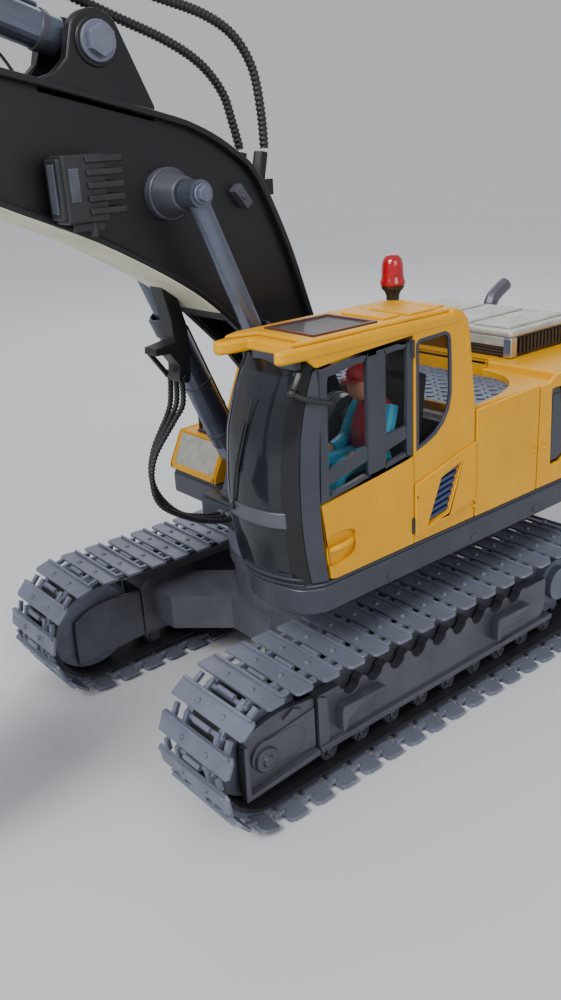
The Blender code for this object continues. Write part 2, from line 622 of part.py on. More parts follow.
def build_boom_fittings():
    lamp = box("boom_lamp", (BOOM_HALF + GAP, -129, 226), (BOOM_HALF + 12, -105, 254), BLACK, BOOM)
    bevel(lamp, 1.2)
    clamp = [(-31.8, 243.4), (-26.2, 231.4), (-22.6, 232.5), (-20.5, 246.5), (-24, 250.6), (-29, 250)]
    slab("hose_clamp", clamp, -10, 10, DARK, BOOM)
    for name, x, route in (
            ("boom_hose_left", 7, [(-24, 251.2), (-24.6, 265), (-27.7, 281), (-36, 292.5), (-49, 299.5),
                                   (-68, 304.4), (-90, 309), (-120, 315.5), (-150, 322), (-166, 325.4)]),
            ("boom_hose_right", -7, [(-26, 251.4), (-29, 262), (-33.1, 273.4), (-43, 284), (-58.6, 292.3),
                                     (-82, 300.5), (-110, 310.5), (-140, 319.5), (-166, 325.4)])):
        hose(name, [(x, y, z) for y, z in route], 2.0, BLACK, BOOM)
    for index, bulge in enumerate((-2.4, 0.4, 3.2)):
        x = -10 - 5 * index
        route = [(-65, 157.4), (-65, 148), (-69.6 + bulge / 2, 141), (-79.6 + bulge, 128), (-82.6 + bulge, 116),
                 (-79 + bulge, 104), (-66, 93), (-52, 87.4), (-42.5, 86)]
        hose(f"swivel_hose_{index + 1}", [(x, y, z) for y, z in route], 1.35, BLACK, HOUSE)


def build_arm():
    upper = [(-30, 9.5), (-8, 14), (20, 15), (60, 12), (100, 8.5), (124, 7.5), (124, -12), (100, -13),
             (40, -14), (0, -13), (-25, -9)]
    top = arc((0, 0), 7.0, -90, 90, 8)
    outline = [arm_point(*p) for p in upper] + [arm_point(-39 - u, v) for u, v in top]
    arm = slab("arm", outline, -ARM_HALF, ARM_HALF, DARK, ARM)
    lower = [(118, 6.6), (150, 6), (172, 3.2), (184, 0), (186, -4), (184, -9), (176, -11), (118, -11)]
    join(arm, slab("arm_lower", [arm_point(*p) for p in lower], -ARM_TIP_HALF, ARM_TIP_HALF, body=ARM))
    cut(arm, slab("horn_slot", [arm_point(*p) for p in ((-60, -20), (-60, 20), (-27, 20), (-27, -20))],
                  -4.8, 4.8, body=ARM))
    lug = [(10, 13), (16, 27)] + [(22 - 6 * math.cos(a), 27 + 6 * math.sin(a))
                                  for a in (0.5, 1.0, 1.57, 2.1, 2.6, 3.14)] + [(30, 20), (36, 12)]
    for side, sign in SIDES:
        join(arm, slab(f"ram_lug_{side}", [arm_point(*p) for p in lug], sign * 4.4, sign * 8, body=ARM))
    join(arm, cross_rod("horn_pin", ARM_RAM_PIN, -8, 8, 2.5, body=ARM, sides=16),
         cross_rod("bucket_ram_pin", BUCKET_RAM_FOOT, -8.8, 8.8, 2.3, body=ARM, sides=16),
         cross_rod("rocker_axle", ROCKER_PIVOT, -12.4, 12.4, 2.3, body=ARM, sides=16))
    cut(arm, cross_rod("arm_bore", ARM_PIVOT, -20, 20, 3.4, body=ARM),
        cross_rod("bucket_bore", BUCKET_PIVOT, -20, 20, 2.9, body=ARM, sides=16))


def build_bucket_linkage():
    plates = [cross_rod("rocker", ROCKER_PIN, -11.6, 11.6, 2.3, STEEL, ROCKER, sides=16)]
    for side, sign in SIDES:
        plates.append(slab(f"rocker_plate_{side}", capsule(ROCKER_PIVOT, ROCKER_PIN, 4.6), sign * 8.8, sign * 11.6,
                           body=ROCKER))
    join(*plates)
    cut(plates[0], cross_rod("rocker_bore", ROCKER_PIVOT, -20, 20, 2.7, body=ROCKER, sides=16))

    middle = along(ROCKER_PIN, BUCKET_LINK_PIN, 11.0), along(ROCKER_PIN, BUCKET_LINK_PIN, 18.0)
    link = slab("link", capsule(*middle, 2.6), -5, 5, STEEL, LINK)
    for side, sign in SIDES:
        join(link, slab(f"link_bar_{side}", capsule(ROCKER_PIN, BUCKET_LINK_PIN, 4.2), sign * 4.2, sign * 7.4,
                        body=LINK))
    for name, place in (("link_top_bore", ROCKER_PIN), ("link_end_bore", BUCKET_LINK_PIN)):
        cut(link, cross_rod(name, place, -20, 20, 2.8, body=LINK, sides=16))


def build_bucket():
    back = [(15, 1), (6, 24), (6, 38), (14, 50), (30, 56.5), (50, 53), (68, 37), (BUCKET_RADIUS, 1)]
    bottom = spline_points(back, 2)
    bucket = slab("bucket", [bucket_point(*p) for p in bottom], -BUCKET_HALF, BUCKET_HALF, DARK, BUCKET)
    inside = [(17, -4)] + [(u + (2.4 if u < 35 else -1.0), v - (2.6 if v > 10 else 5)) for u, v in bottom[2:-2]]
    inside += [(BUCKET_RADIUS - 7, -4)]
    cut(bucket, slab("bucket_room", [bucket_point(*p) for p in inside], -BUCKET_HALF + 2.4, BUCKET_HALF - 2.4,
                     body=BUCKET))
    ear = [(-6.2, -2), (-2, -6.2), (4, -6), (14, 2.5), (10, 16), (9, 30), (2, 28), (-8, 24), (-9.5, 19), (-8, 10)]
    for side, sign in SIDES:
        join(bucket, slab(f"bucket_ear_{side}", [bucket_point(*p) for p in ear], sign * 8.6, sign * 11.6,
                          body=BUCKET))
    join(bucket, cross_rod("bucket_pin", BUCKET_PIVOT, -12.6, 12.6, 2.5, body=BUCKET, sides=16),
         cross_rod("link_pin", BUCKET_LINK_PIN, -12.6, 12.6, 2.4, body=BUCKET, sides=16))
    for tooth in range(5):
        x = (tooth - 2) * 13.4
        point = [bucket_point(BUCKET_RADIUS - 6, 4), bucket_point(BUCKET_RADIUS + 4, -1.2),
                 bucket_point(BUCKET_RADIUS - 6, 0.6)]
        join(bucket, slab(f"tooth_{tooth}", point, x - 2.6, x + 2.6, body=BUCKET))


def build_rams():
    for side, sign in SIDES:
        build_ram(f"boom_ram_{side}", BOOM_RAM_FOOT, BOOM_RAM_PIN, sign * BOOM_RAM_X, STEEL, 6.8, 6.1, 4.0,
                  82, 76, 47, 4.4, 2.9, 2.9, HOUSE, BOOM)
    build_ram("arm_ram", ARM_RAM_FOOT, ARM_RAM_PIN, 0, STEEL, 6.6, 5.7, 2.3, 104, 74, 52, 4.4, 2.9, 2.9, BOOM, ARM)
    build_ram("bucket_ram", BUCKET_RAM_FOOT, ROCKER_PIN, 0, STEEL, 6.0, 5.2, 2.1, 88, 70, 48, 3.8, 2.7, 2.7,
              ARM, ROCKER)


build_centre_frame()
build_slew_ring()
for track_side, track_sign in SIDES:
    build_track(track_side, track_sign)
build_deck()
build_boom_bracket()
build_cab()
build_cab_inside()
build_beacon()
build_housings()
build_counterweight()
build_boom()
build_boom_fittings()
build_arm()
build_bucket_linkage()
build_bucket()
build_rams()
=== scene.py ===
import json
import math

import bmesh
import bpy
from mathutils import Matrix, Vector


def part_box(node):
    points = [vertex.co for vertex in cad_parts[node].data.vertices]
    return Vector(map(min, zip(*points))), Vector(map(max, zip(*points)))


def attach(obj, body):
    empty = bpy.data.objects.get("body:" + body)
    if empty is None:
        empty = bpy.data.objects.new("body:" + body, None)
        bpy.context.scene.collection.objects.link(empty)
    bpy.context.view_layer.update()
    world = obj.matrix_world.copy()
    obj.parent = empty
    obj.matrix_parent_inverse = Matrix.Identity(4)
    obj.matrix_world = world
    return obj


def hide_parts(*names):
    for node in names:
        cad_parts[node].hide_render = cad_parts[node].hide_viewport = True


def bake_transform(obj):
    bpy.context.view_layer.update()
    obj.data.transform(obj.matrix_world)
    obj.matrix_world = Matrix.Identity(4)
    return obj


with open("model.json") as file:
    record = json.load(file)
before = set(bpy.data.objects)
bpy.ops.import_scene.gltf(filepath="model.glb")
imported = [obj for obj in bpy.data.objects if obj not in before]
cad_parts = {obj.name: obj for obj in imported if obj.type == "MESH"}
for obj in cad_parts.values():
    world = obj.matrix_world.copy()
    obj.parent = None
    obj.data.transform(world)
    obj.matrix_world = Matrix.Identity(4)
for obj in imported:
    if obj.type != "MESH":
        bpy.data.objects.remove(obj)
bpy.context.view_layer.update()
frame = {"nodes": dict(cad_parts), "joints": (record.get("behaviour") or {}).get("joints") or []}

# Lengths below are in millimetres, measured from the slew axis at ground level:
# +Z is up, -Y is forward and +X is the operator's left, the cab side.
MM = 0.001
SLEW = Vector(next(j for j in frame["joints"] if j["name"] == "slew")["pos_m"])
ORIGIN = Vector((SLEW.x, SLEW.y, 0.0))
SIDES = (("left", 1), ("right", -1))


def joint_at(name):
    """A joint's place as (x, y, z)."""
    place = (Vector(next(j for j in frame["joints"] if j["name"] == name)["pos_m"]) - ORIGIN) / MM
    return tuple(place)


def node_box(name):
    """A CAD node's lowest and highest corners."""
    return tuple((corner - ORIGIN) / MM for corner in (Vector(c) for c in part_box(name)))


WHEEL_Y, WHEEL_Z = joint_at("sprocket_left_spin")[1:]
TRACK_IN, TRACK_OUT = (corner.x for corner in node_box("track_belt_left"))
BELT_RADIUS = WHEEL_Z
DECK_LOW, DECK_TOP = (corner.z for corner in node_box("deck"))
HOUSE_HALF = node_box("cab_door")[1].x
BOOM_FOOT = joint_at("boom_lift")[1:]
BOOM_RAM_FOOT = joint_at("boom_ram_left_foot")[1:]
BOOM_RAM_PIN = joint_at("boom_ram_left_pin")[1:]
ARM_PIVOT = joint_at("arm_swing")[1:]
ARM_RAM_FOOT = joint_at("arm_ram_foot")[1:]
ARM_RAM_PIN = joint_at("arm_ram_pin")[1:]
BUCKET_PIVOT = joint_at("bucket_curl")[1:]
BUCKET_RAM_FOOT = joint_at("bucket_ram_foot")[1:]
ROCKER_PIVOT = joint_at("rocker_turn")[1:]
ROCKER_PIN = joint_at("link_turn")[1:]


# ---------------------------------------------------------------- materials
def linear(code):
    """An sRGB hex colour as linear RGBA."""
    values = [int(code[i:i + 2], 16) / 255 for i in (1, 3, 5)]
    return tuple(v / 12.92 if v <= 0.04045 else ((v + 0.055) / 1.055) ** 2.4 for v in values) + (1.0,)


def add_node(tree, kind, inputs=None, **settings):
    """A shader node with its settings; an input takes a value or another node's output."""
    node = tree.nodes.new(kind)
    for name, value in settings.items():
        setattr(node, name, value)
    for name, value in (inputs or {}).items():
        if isinstance(value, bpy.types.NodeSocket):
            tree.links.new(value, node.inputs[name])
        else:
            node.inputs[name].default_value = value
    return node


def noise(tree, place, size_mm, **values):
    """Noise whose features are size_mm across."""
    return add_node(tree, "ShaderNodeTexNoise",
                    {"Vector": place, "Scale": 1 / (size_mm * MM), **values}).outputs["Fac"]


def worked_out(tree, operation, first, second):
    """The result of a sum or product; each of its two terms is a number or an output."""
    return add_node(tree, "ShaderNodeMath", {0: first, 1: second}, operation=operation).outputs[0]


def ranged(tree, value, low, high, to_low=0.0, to_high=1.0):
    """value, brought from between low and high to between to_low and to_high."""
    return add_node(tree, "ShaderNodeMapRange", {"Value": value, "From Min": low, "From Max": high,
                                                 "To Min": to_low, "To Max": to_high}).outputs["Result"]


def shaded(tree, share, under, over):
    """A colour that goes from under to over as share rises."""
    return add_node(tree, "ShaderNodeMix", {"Factor": share, "A": under, "B": over},
                    data_type="RGBA").outputs["Result"]


def start_material(name):
    """A new material with its node tree, its shader and the object's own coordinates."""
    material = bpy.data.materials.new(name)
    material.use_nodes = True
    tree = material.node_tree
    place = add_node(tree, "ShaderNodeTexCoord").outputs["Object"]
    return material, tree, tree.nodes["Principled BSDF"], place


DUST_SHARE = 0.35
EDGE_LIFT = 0.12


def finish(name, colour, blotch, roughness, spread=0.08, grain_mm=0.8, grain_height_mm=0.02,
           blotch_mm=14.0, worn=None, worn_share=0.0, dust=None, **shader_values):
    """A surface with slow colour changes and a fine grain. Dust lies on what faces up, and sharp edges
    wear where the grain stands high."""
    material, tree, shader, place = start_material(name)
    for socket, value in shader_values.items():
        shader.inputs[socket.replace("_", " ")].default_value = value
    slow = noise(tree, place, blotch_mm, Detail=4.0, Roughness=0.6)
    fine = noise(tree, place, grain_mm, Detail=3.0)
    share = ranged(tree, slow, 0.35, 0.7)
    paint = shaded(tree, share, linear(colour), linear(blotch))
    if dust:
        facing = add_node(tree, "ShaderNodeNewGeometry").outputs["Normal"]
        up = add_node(tree, "ShaderNodeSeparateXYZ", {"Vector": facing}).outputs["Z"]
        lying = worked_out(tree, "MULTIPLY", ranged(tree, up, 0.5, 1.0), share)
        paint = shaded(tree, worked_out(tree, "MULTIPLY", lying, DUST_SHARE), paint, linear(dust))
    if worn:
        edge = add_node(tree, "ShaderNodeNewGeometry").outputs["Pointiness"]
        ridge = worked_out(tree, "MULTIPLY", worked_out(tree, "ADD", edge, EDGE_LIFT), fine)
        paint = shaded(tree, ranged(tree, ridge, 0.59, 0.68, 0.0, worn_share), paint, linear(worn))
    tree.links.new(paint, shader.inputs["Base Color"])
    rough = ranged(tree, slow, 0.3, 0.7, roughness - spread / 2, roughness + spread / 2)
    tree.links.new(rough, shader.inputs["Roughness"])
    bump = add_node(tree, "ShaderNodeBump",
                    {"Height": fine, "Distance": grain_height_mm * MM, "Strength": 0.6})
    tree.links.new(bump.outputs["Normal"], shader.inputs["Normal"])
    return material


# ABS moulded in warm yellow: a satin skin with the faint pebble of a spark-eroded mould.
YELLOW_ABS = finish("yellow_moulded_abs", "#DA9C04", "#CE9202", 0.38, grain_mm=0.9, grain_height_mm=0.012,
                    blotch_mm=30.0, worn="#E6A830", worn_share=0.25, IOR=1.53, Specular_IOR_Level=0.25)
# ABS moulded in slate: the skirt, pillars and door frame, a little glossier where hands rub it.
SLATE_ABS = finish("slate_moulded_abs", "#30343F", "#272A34", 0.36, grain_mm=0.8, grain_height_mm=0.012,
                   blotch_mm=25.0, worn="#5A6478", worn_share=0.4, dust="#6A6C74", IOR=1.53)
# Black ABS, polished tool: deep gloss on the screen surround.
BLACK_ABS = finish("black_polished_abs", "#0B0B0E", "#101014", 0.16, spread=0.06, grain_mm=3.0,
                   grain_height_mm=0.004, IOR=1.45, Coat_Weight=0.15, Coat_Roughness=0.05)
# Black ABS as moulded: a dull, grained black that takes no highlight.
BLACK_MATT = finish("black_grained_abs", "#17181B", "#202226", 0.5, grain_mm=0.7, grain_height_mm=0.03,
                    worn="#3A3C42", worn_share=0.3, IOR=1.53)
# Zinc castings under a thin blue-grey paint, rubbed bright on the shoe ribs and corners.
TRACK_ZINC = finish("painted_cast_zinc", "#747888", "#5C6070", 0.42, spread=0.16, grain_mm=1.1,
                    grain_height_mm=0.05, blotch_mm=18.0, worn="#A9ABB5", worn_share=0.75, dust="#858792",
                    Metallic=0.35)
# The same casting zinc, darker and smoother: track frames, pins and ram collars.
FRAME_ZINC = finish("painted_zinc_frame", "#55565F", "#44454D", 0.38, spread=0.12, grain_mm=1.4,
                    grain_height_mm=0.02, blotch_mm=26.0, worn="#9C9EA9", worn_share=0.5, dust="#7B7D88",
                    Metallic=0.3)
# Charcoal powder coat: the boom, arm and bucket, a fine orange peel and a soft sheen.
POWDER_COAT = finish("charcoal_powder_coat", "#17181B", "#121316", 0.38, spread=0.1, grain_mm=0.7,
                     grain_height_mm=0.03, blotch_mm=35.0, worn="#4A4C52", worn_share=0.45, dust="#4A4B50",
                     Metallic=0.1)
# Painted highlight in cream: the pale line under the boom, standing in for light on its belly.
BELLY_HIGHLIGHT_PAINT = finish("painted_underside_highlight", "#E6E2C6", "#CFCBAF", 0.5, grain_mm=0.9, blotch_mm=16.0,
                    Metallic=0.0)
# Turned steel, blued: the ram rods and barrels.
RAM_STEEL = finish("blued_turned_steel", "#6C7180", "#5A5F6E", 0.30, spread=0.1, grain_mm=0.5,
                   grain_height_mm=0.008, blotch_mm=20.0, worn="#A0A5B2", worn_share=0.4, Metallic=0.7)
# Silver wrinkle paint: the hood, soft and slightly mottled.
SILVER_PAINT = finish("silver_wrinkle_paint", "#B9B9B0", "#9B9B92", 0.45, spread=0.14, grain_mm=0.9,
                      grain_height_mm=0.09, blotch_mm=9.0, worn="#DADAD2", worn_share=0.4, Metallic=0.45)
# Bright plating: small sharp highlights at the hood corners and screws.
BRIGHT_TRIM = finish("bright_plated_trim", "#C8CBD2", "#AEB2BC", 0.2, spread=0.08, grain_mm=1.2,
                     grain_height_mm=0.02, Metallic=0.95)
# Brown-black plastic: the hood grilles, warmer than the slate round them.
BROWN_GRILLE = finish("dark_brown_grille", "#2A211E", "#3A302B", 0.45, grain_mm=0.8, grain_height_mm=0.04,
                      worn="#5A4A42", worn_share=0.3)
# Rubber: the hoses and wires, dull with a faint bloom.
HOSE_RUBBER = finish("black_hose_rubber", "#131417", "#1C1D21", 0.5, spread=0.1, grain_mm=0.5,
                     grain_height_mm=0.03, worn="#33353B", worn_share=0.4, IOR=1.52)
# Bluish zinc: the tray plate, its raised bars catching the light.
TREAD_ZINC = finish("tread_plate_zinc", "#6F7A92", "#525B72", 0.38, spread=0.14, grain_mm=0.8,
                    grain_height_mm=0.03, blotch_mm=8.0, worn="#A9B2C4", worn_share=0.6, Metallic=0.4)
# Navy ABS: the cool blue of the louvre slats.
NAVY_ABS = finish("navy_louvre_abs", "#25335A", "#2C3C66", 0.34, grain_mm=0.8, worn="#6A7CA8", worn_share=0.7)
# Red acrylic: the beacon dome, wet-looking and glowing at its edges.
RED_LENS = finish("red_acrylic_lens", "#B5121B", "#9A0D15", 0.12, spread=0.04, grain_mm=2.0,
                  grain_height_mm=0.01,
                  IOR=1.49, Coat_Weight=0.5, Coat_Roughness=0.04, Transmission_Weight=0.25)
# The driver: solid toy colours with a low sheen, and the brown seal round the hatch.
RED_CLOTH = finish("toy_red_abs", "#B0232C", "#951C25", 0.5, grain_mm=0.7, IOR=1.53)
CYAN_CLOTH = finish("toy_cyan_abs", "#3FB4D8", "#2E9DC4", 0.42, grain_mm=0.7, IOR=1.53)
SKIN_PVC = finish("toy_skin_pvc", "#C98F6C", "#BB8160", 0.5, grain_mm=0.7, IOR=1.53)
HATCH_SEAL = finish("brown_hatch_seal", "#5A2E26", "#4A2620", 0.5, grain_mm=0.7, IOR=1.5)
# Calendered vinyl over foam: low sheen with a leather-like grain.
SEAT_VINYL = finish("black_seat_vinyl", "#1C1D22", "#26272D", 0.56, spread=0.12, grain_mm=0.6,
                    grain_height_mm=0.06,
                    worn="#3C3E46", worn_share=0.3, IOR=1.5, Sheen_Weight=0.12)
# Smoked acrylic over the lamp's bulb: dark, with a sharp highlight.
LAMP_LENS = finish("lamp_lens_acrylic", "#3C3F48", "#50545E", 0.12, spread=0.05, grain_mm=1.6,
                   grain_height_mm=0.05, IOR=1.49, Coat_Weight=0.4)
# Hard chrome, ground: the ram rods' mirror-like shafts.
ROD_CHROME = finish("hard_chromed_rod", "#AEB3BD", "#9AA0AB", 0.16, spread=0.06, grain_mm=0.4,
                    grain_height_mm=0.004, Metallic=1.0)


def clear_sheet(name, tint, cover, smear_mm=16.667):
    """Clear moulded acrylic, thin and lightly smeared; cover is how much of what is behind it is lost."""
    material, tree, shader, place = start_material(name)
    shader.inputs["IOR"].default_value = 1.49
    smear = noise(tree, place, smear_mm, Detail=5.0)
    tree.links.new(shaded(tree, smear, linear(tint), linear("#2A2E36")), shader.inputs["Base Color"])
    tree.links.new(ranged(tree, smear, 0.0, 1.0, 0.03, 0.14), shader.inputs["Roughness"])
    shader.inputs["Alpha"].default_value = cover
    return material


# Windscreen: near black, the cab only guessed at behind it.
SMOKED_ACRYLIC = clear_sheet("smoked_acrylic", "#0C0D10", 0.86)
# Side glass: hardly there but for its highlights.
CLEAR_ACRYLIC = clear_sheet("clear_acrylic", "#20242A", 0.07)
# Roof hatch: a milky grey that the sky lights up.
HATCH_ACRYLIC = clear_sheet("grey_hatch_acrylic", "#8D929A", 0.55)

# The record's material slot listed for each finish, unless a piece names another one; made() looks it up but
# nothing uses it.
SLOT_OF = {material: slot for slot, materials in {
    "yellow_plastic": (YELLOW_ABS,),
    "slate_plastic": (SLATE_ABS, NAVY_ABS),
    "black_plastic": (BLACK_ABS, BLACK_MATT, BROWN_GRILLE, HATCH_SEAL, SEAT_VINYL),
    "blue_grey_metal": (TRACK_ZINC, FRAME_ZINC, RAM_STEEL, TREAD_ZINC),
    "charcoal_metal": (POWDER_COAT,),
    "silver_paint": (BELLY_HIGHLIGHT_PAINT, SILVER_PAINT, BRIGHT_TRIM),
    "hose_rubber": (HOSE_RUBBER,),
    "red_lens": (RED_LENS,),
    "blue_figure": (RED_CLOTH, CYAN_CLOTH, SKIN_PVC),
    "clear_glazing": (LAMP_LENS, CLEAR_ACRYLIC, HATCH_ACRYLIC),
    "tinted_screen": (SMOKED_ACRYLIC,)}.items() for material in materials}


# ---------------------------------------------------------------- shapes
def to_frame(point):
    return ORIGIN + Vector(point) * MM


def arc(centre, radius, start, end, steps=8):
    """Points on a circle from start to end, in degrees."""
    angles = [math.radians(start + (end - start) * i / steps) for i in range(steps + 1)]
    return [(centre[0] + radius * math.cos(a), centre[1] + radius * math.sin(a)) for a in angles]


def smooth(points, steps, cyclic=False):
    """Catmull-Rom line through points of any dimension."""
    count = len(points)
    result = []
    for i in range(count if cyclic else count - 1):
        if cyclic:
            a, b, c, d = (points[(i + k) % count] for k in (-1, 0, 1, 2))
        else:
            a, b = points[max(i - 1, 0)], points[i]
            c, d = points[i + 1], points[min(i + 2, count - 1)]
        for step in range(steps):
            t = step / steps
            result.append(tuple(
                0.5 * (2 * q + (r - p) * t + (2 * p - 5 * q + 4 * r - s) * t * t
                       + (3 * q - p - 3 * r + s) * t ** 3)
                for p, q, r, s in zip(a, b, c, d)))
    if not cyclic:
        result.append(tuple(points[-1]))
    return result


def capsule(a, b, radius, steps=8):
    """Two equal circles joined by their tangents."""
    heading = math.degrees(math.atan2(b[1] - a[1], b[0] - a[0]))
    return (arc(b, radius, heading - 90, heading + 90, steps)
            + arc(a, radius, heading + 90, heading + 270, steps))


def along(start, end, distance):
    """The point at distance from start towards end."""
    start, end = Vector(start), Vector(end)
    return tuple(start + (end - start).normalized() * distance)


def moved_in(outline, distance):
    """An anticlockwise outline moved inwards by distance."""
    result = []
    count = len(outline)
    for i in range(count):
        before, here, after = (Vector(outline[(i + k) % count]) for k in (-1, 0, 1))
        first, second = (here - before).normalized(), (after - here).normalized()
        normal = Vector((-first.y - second.y, first.x + second.x))
        if normal.length < 1e-6:
            normal = Vector((-first.y, first.x))
        normal.normalize()
        spread = max(0.45, normal.dot(Vector((-first.y, first.x))))
        result.append(tuple(here + normal * distance / spread))
    return result


class Shape:
    """A mesh in the making, in millimetres."""

    def __init__(self, turn=None):
        self.mesh = bmesh.new()
        self.turn = turn or Matrix.Identity(4)

    def block(self, low, high, turn=None):
        low, high = Vector(low), Vector(high)
        place = Matrix.Translation((low + high) / 2) @ Matrix.Diagonal((*(high - low), 1.0))
        bmesh.ops.create_cube(self.mesh, size=1.0, matrix=self.turn @ (turn or Matrix.Identity(4)) @ place)
        return self

    def bar(self, start, end, radius, end_radius=None, sides=24):
        start, end = Vector(start), Vector(end)
        turn = (end - start).to_track_quat("Z", "Y").to_matrix().to_4x4()
        bmesh.ops.create_cone(
            self.mesh, cap_ends=True, segments=sides, radius1=radius,
            radius2=radius if end_radius is None else end_radius, depth=(end - start).length,
            matrix=self.turn @ Matrix.Translation((start + end) / 2) @ turn)
        return self

    def cross(self, centre, x_start, x_end, radius, end_radius=None, sides=24):
        """A round bar along X through centre (y, z)."""
        return self.bar((x_start, *centre), (x_end, *centre), radius, end_radius, sides)

    def ball(self, centre, radii, sides=20):
        place = Matrix.Translation(Vector(centre)) @ Matrix.Diagonal((*radii, 1.0))
        bmesh.ops.create_uvsphere(self.mesh, u_segments=sides, v_segments=sides // 2, radius=1.0,
                                  matrix=self.turn @ place)
        return self

    def plate(self, outline, low, high, axis="X", holes=()):
        """A flat outline between low and high. Along X its points are (y, z); Y (x, z); Z (x, y)."""
        places = {"X": lambda u, v, w: (w, u, v), "Y": lambda u, v, w: (u, w, v), "Z": lambda u, v,
                  w: (u, v, w)}
        place = places[axis]
        sheet = bmesh.new()
        edges = []
        for loop in (outline, *holes):
            corners = [sheet.verts.new(place(u, v, low)) for u, v in loop]
            edges += [sheet.edges.new((corners[i], corners[(i + 1) % len(corners)]))
                      for i in range(len(corners))]
        if holes:
            bmesh.ops.triangle_fill(sheet, edges=edges, use_beauty=True)
        else:
            sheet.faces.new(sheet.verts)
        rise = Vector(place(0, 0, high)) - Vector(place(0, 0, low))
        grown = bmesh.ops.extrude_face_region(sheet, geom=sheet.faces[:])
        bmesh.ops.translate(sheet, verts=[g for g in grown["geom"] if isinstance(g, bmesh.types.BMVert)],
                            vec=rise)
        bmesh.ops.recalc_face_normals(sheet, faces=sheet.faces)
        bmesh.ops.transform(sheet, matrix=self.turn, verts=sheet.verts)
        self.take(sheet)
        return self

    def take(self, other):
        """Adds another mesh's faces."""
        held = bpy.data.meshes.new("held")
        other.to_mesh(held)
        other.free()
        self.mesh.from_mesh(held)
        bpy.data.meshes.remove(held)

    def lathe(self, profile, centre, axis="X", steps=32):
        """A profile of (radius, distance along axis), turned about the axis through centre."""
        turned = bmesh.new()
        ring = [turned.verts.new((r, 0.0, h)) for r, h in profile]
        edges = [turned.edges.new((ring[i], ring[i + 1])) for i in range(len(ring) - 1)]
        bmesh.ops.spin(turned, geom=ring + edges, cent=(0, 0, 0), axis=(0, 0, 1), angle=2 * math.pi,
                       steps=steps,
                       use_merge=True)
        bmesh.ops.remove_doubles(turned, verts=turned.verts, dist=0.0005)
        bmesh.ops.recalc_face_normals(turned, faces=turned.faces)
        about = {"X": Matrix.Rotation(math.pi / 2, 4, "Y"), "Y": Matrix.Rotation(-math.pi / 2, 4, "X"),
                 "Z": Matrix.Identity(4)}[axis]
        bmesh.ops.transform(turned, matrix=self.turn @ Matrix.Translation(Vector(centre)) @ about,
                            verts=turned.verts)
        self.take(turned)
        return self

    def tube(self, points, radius, sides=10, caps=True, radii=None):
        """A round line through points; radii gives each point its own radius."""
        points = [Vector(p) for p in points]
        rings = []
        normal = None
        for i, point in enumerate(points):
            way = (points[min(i + 1, len(points) - 1)] - points[max(i - 1, 0)]).normalized()
            if normal is None:
                normal = way.orthogonal().normalized()
            normal = (normal - way * normal.dot(way)).normalized()
            across = way.cross(normal)
            size = radii[i] if radii else radius
            rings.append([self.mesh.verts.new(self.turn @ (point + size * (
                normal * math.cos(2 * math.pi * k / sides) + across * math.sin(2 * math.pi * k / sides))))
                for k in range(sides)])
        for first, second in zip(rings, rings[1:]):
            for k in range(sides):
                self.mesh.faces.new((first[k], first[(k + 1) % sides], second[(k + 1) % sides], second[k]))
        if caps:
            self.mesh.faces.new(reversed(rings[0]))
            self.mesh.faces.new(rings[-1])
        return self

    def made(self, name, material, body=None, bevel=0.0, segments=2, stands_for=(), angle=32.0, slot=None):
        """The finished piece in the row frame, riding on body. It stands for the CAD nodes in stands_for."""
        mesh = bpy.data.meshes.new(name)
        bmesh.ops.transform(self.mesh, matrix=Matrix.Translation(ORIGIN) @ Matrix.Scale(MM, 4),
                            verts=self.mesh.verts)
        self.mesh.to_mesh(mesh)
        self.mesh.free()
        mesh.shade_smooth()
        mesh.set_sharp_from_angle(angle=math.radians(angle))
        piece = bpy.data.objects.new(name, mesh)
        bpy.context.scene.collection.objects.link(piece)
        if material:
            mesh.materials.append(material)
        if bevel:
            add_bevel(piece, bevel, segments)
        if body:
            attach(piece, body)
        if stands_for:
            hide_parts(*stands_for)
        slot = slot or SLOT_OF.get(material)
        return piece


def add_bevel(piece, width, segments=2, angle=35.0):
    rounding = piece.modifiers.new("rounding", "BEVEL")
    rounding.width = width * MM
    rounding.segments = segments
    rounding.limit_method = "ANGLE"
    rounding.angle_limit = math.radians(angle)
    rounding.harden_normals = True
    return rounding


def carve(piece, *tools):
    """Cuts tools out of piece for good, and removes them."""
    for tool in tools:
        cutter = tool.made("cutter", None)
        cutting = piece.modifiers.new("cut", "BOOLEAN")
        cutting.operation = "DIFFERENCE"
        cutting.solver = "EXACT"
        cutting.object = cutter
        evaluated = piece.evaluated_get(bpy.context.evaluated_depsgraph_get())
        mesh = bpy.data.meshes.new_from_object(evaluated)
        piece.modifiers.clear()
        piece.data = mesh
        bpy.data.objects.remove(cutter)
    piece.data.shade_smooth()
    piece.data.set_sharp_from_angle(angle=math.radians(32))
    return piece


def dress(node, material, bevel=0.0, segments=2):
    """A CAD node that keeps its shape gets its finish and, if asked, rounded edges."""
    piece = frame["nodes"][node]
    piece.data.materials.clear()
    piece.data.materials.append(material)
    if bevel:
        add_bevel(piece, bevel, segments)


# ---------------------------------------------------------------- camera, floor and lights
CAMERA_PLACE = (320.35, -276.48, 253.5)
CAMERA_TURNS = (51.45, 21.54, -3.51)
CAMERA_LENS = 32.66
CAMERA_SENSOR = 36.0
FLOOR_HALF = 40000
LIGHTS = (("key_light", "SUN", (250, -900, 1000), 0.35, 1.9),
          ("front_light", "AREA", (150, -1000, 900), 0.6, 7.0),
          ("side_light", "AREA", (1100, -150, 700), 0.6, 5.0),
          ("rear_light", "AREA", (-700, 700, 900), 0.8, 4.0))
LIGHTS_AIM = (0, -30, 120)


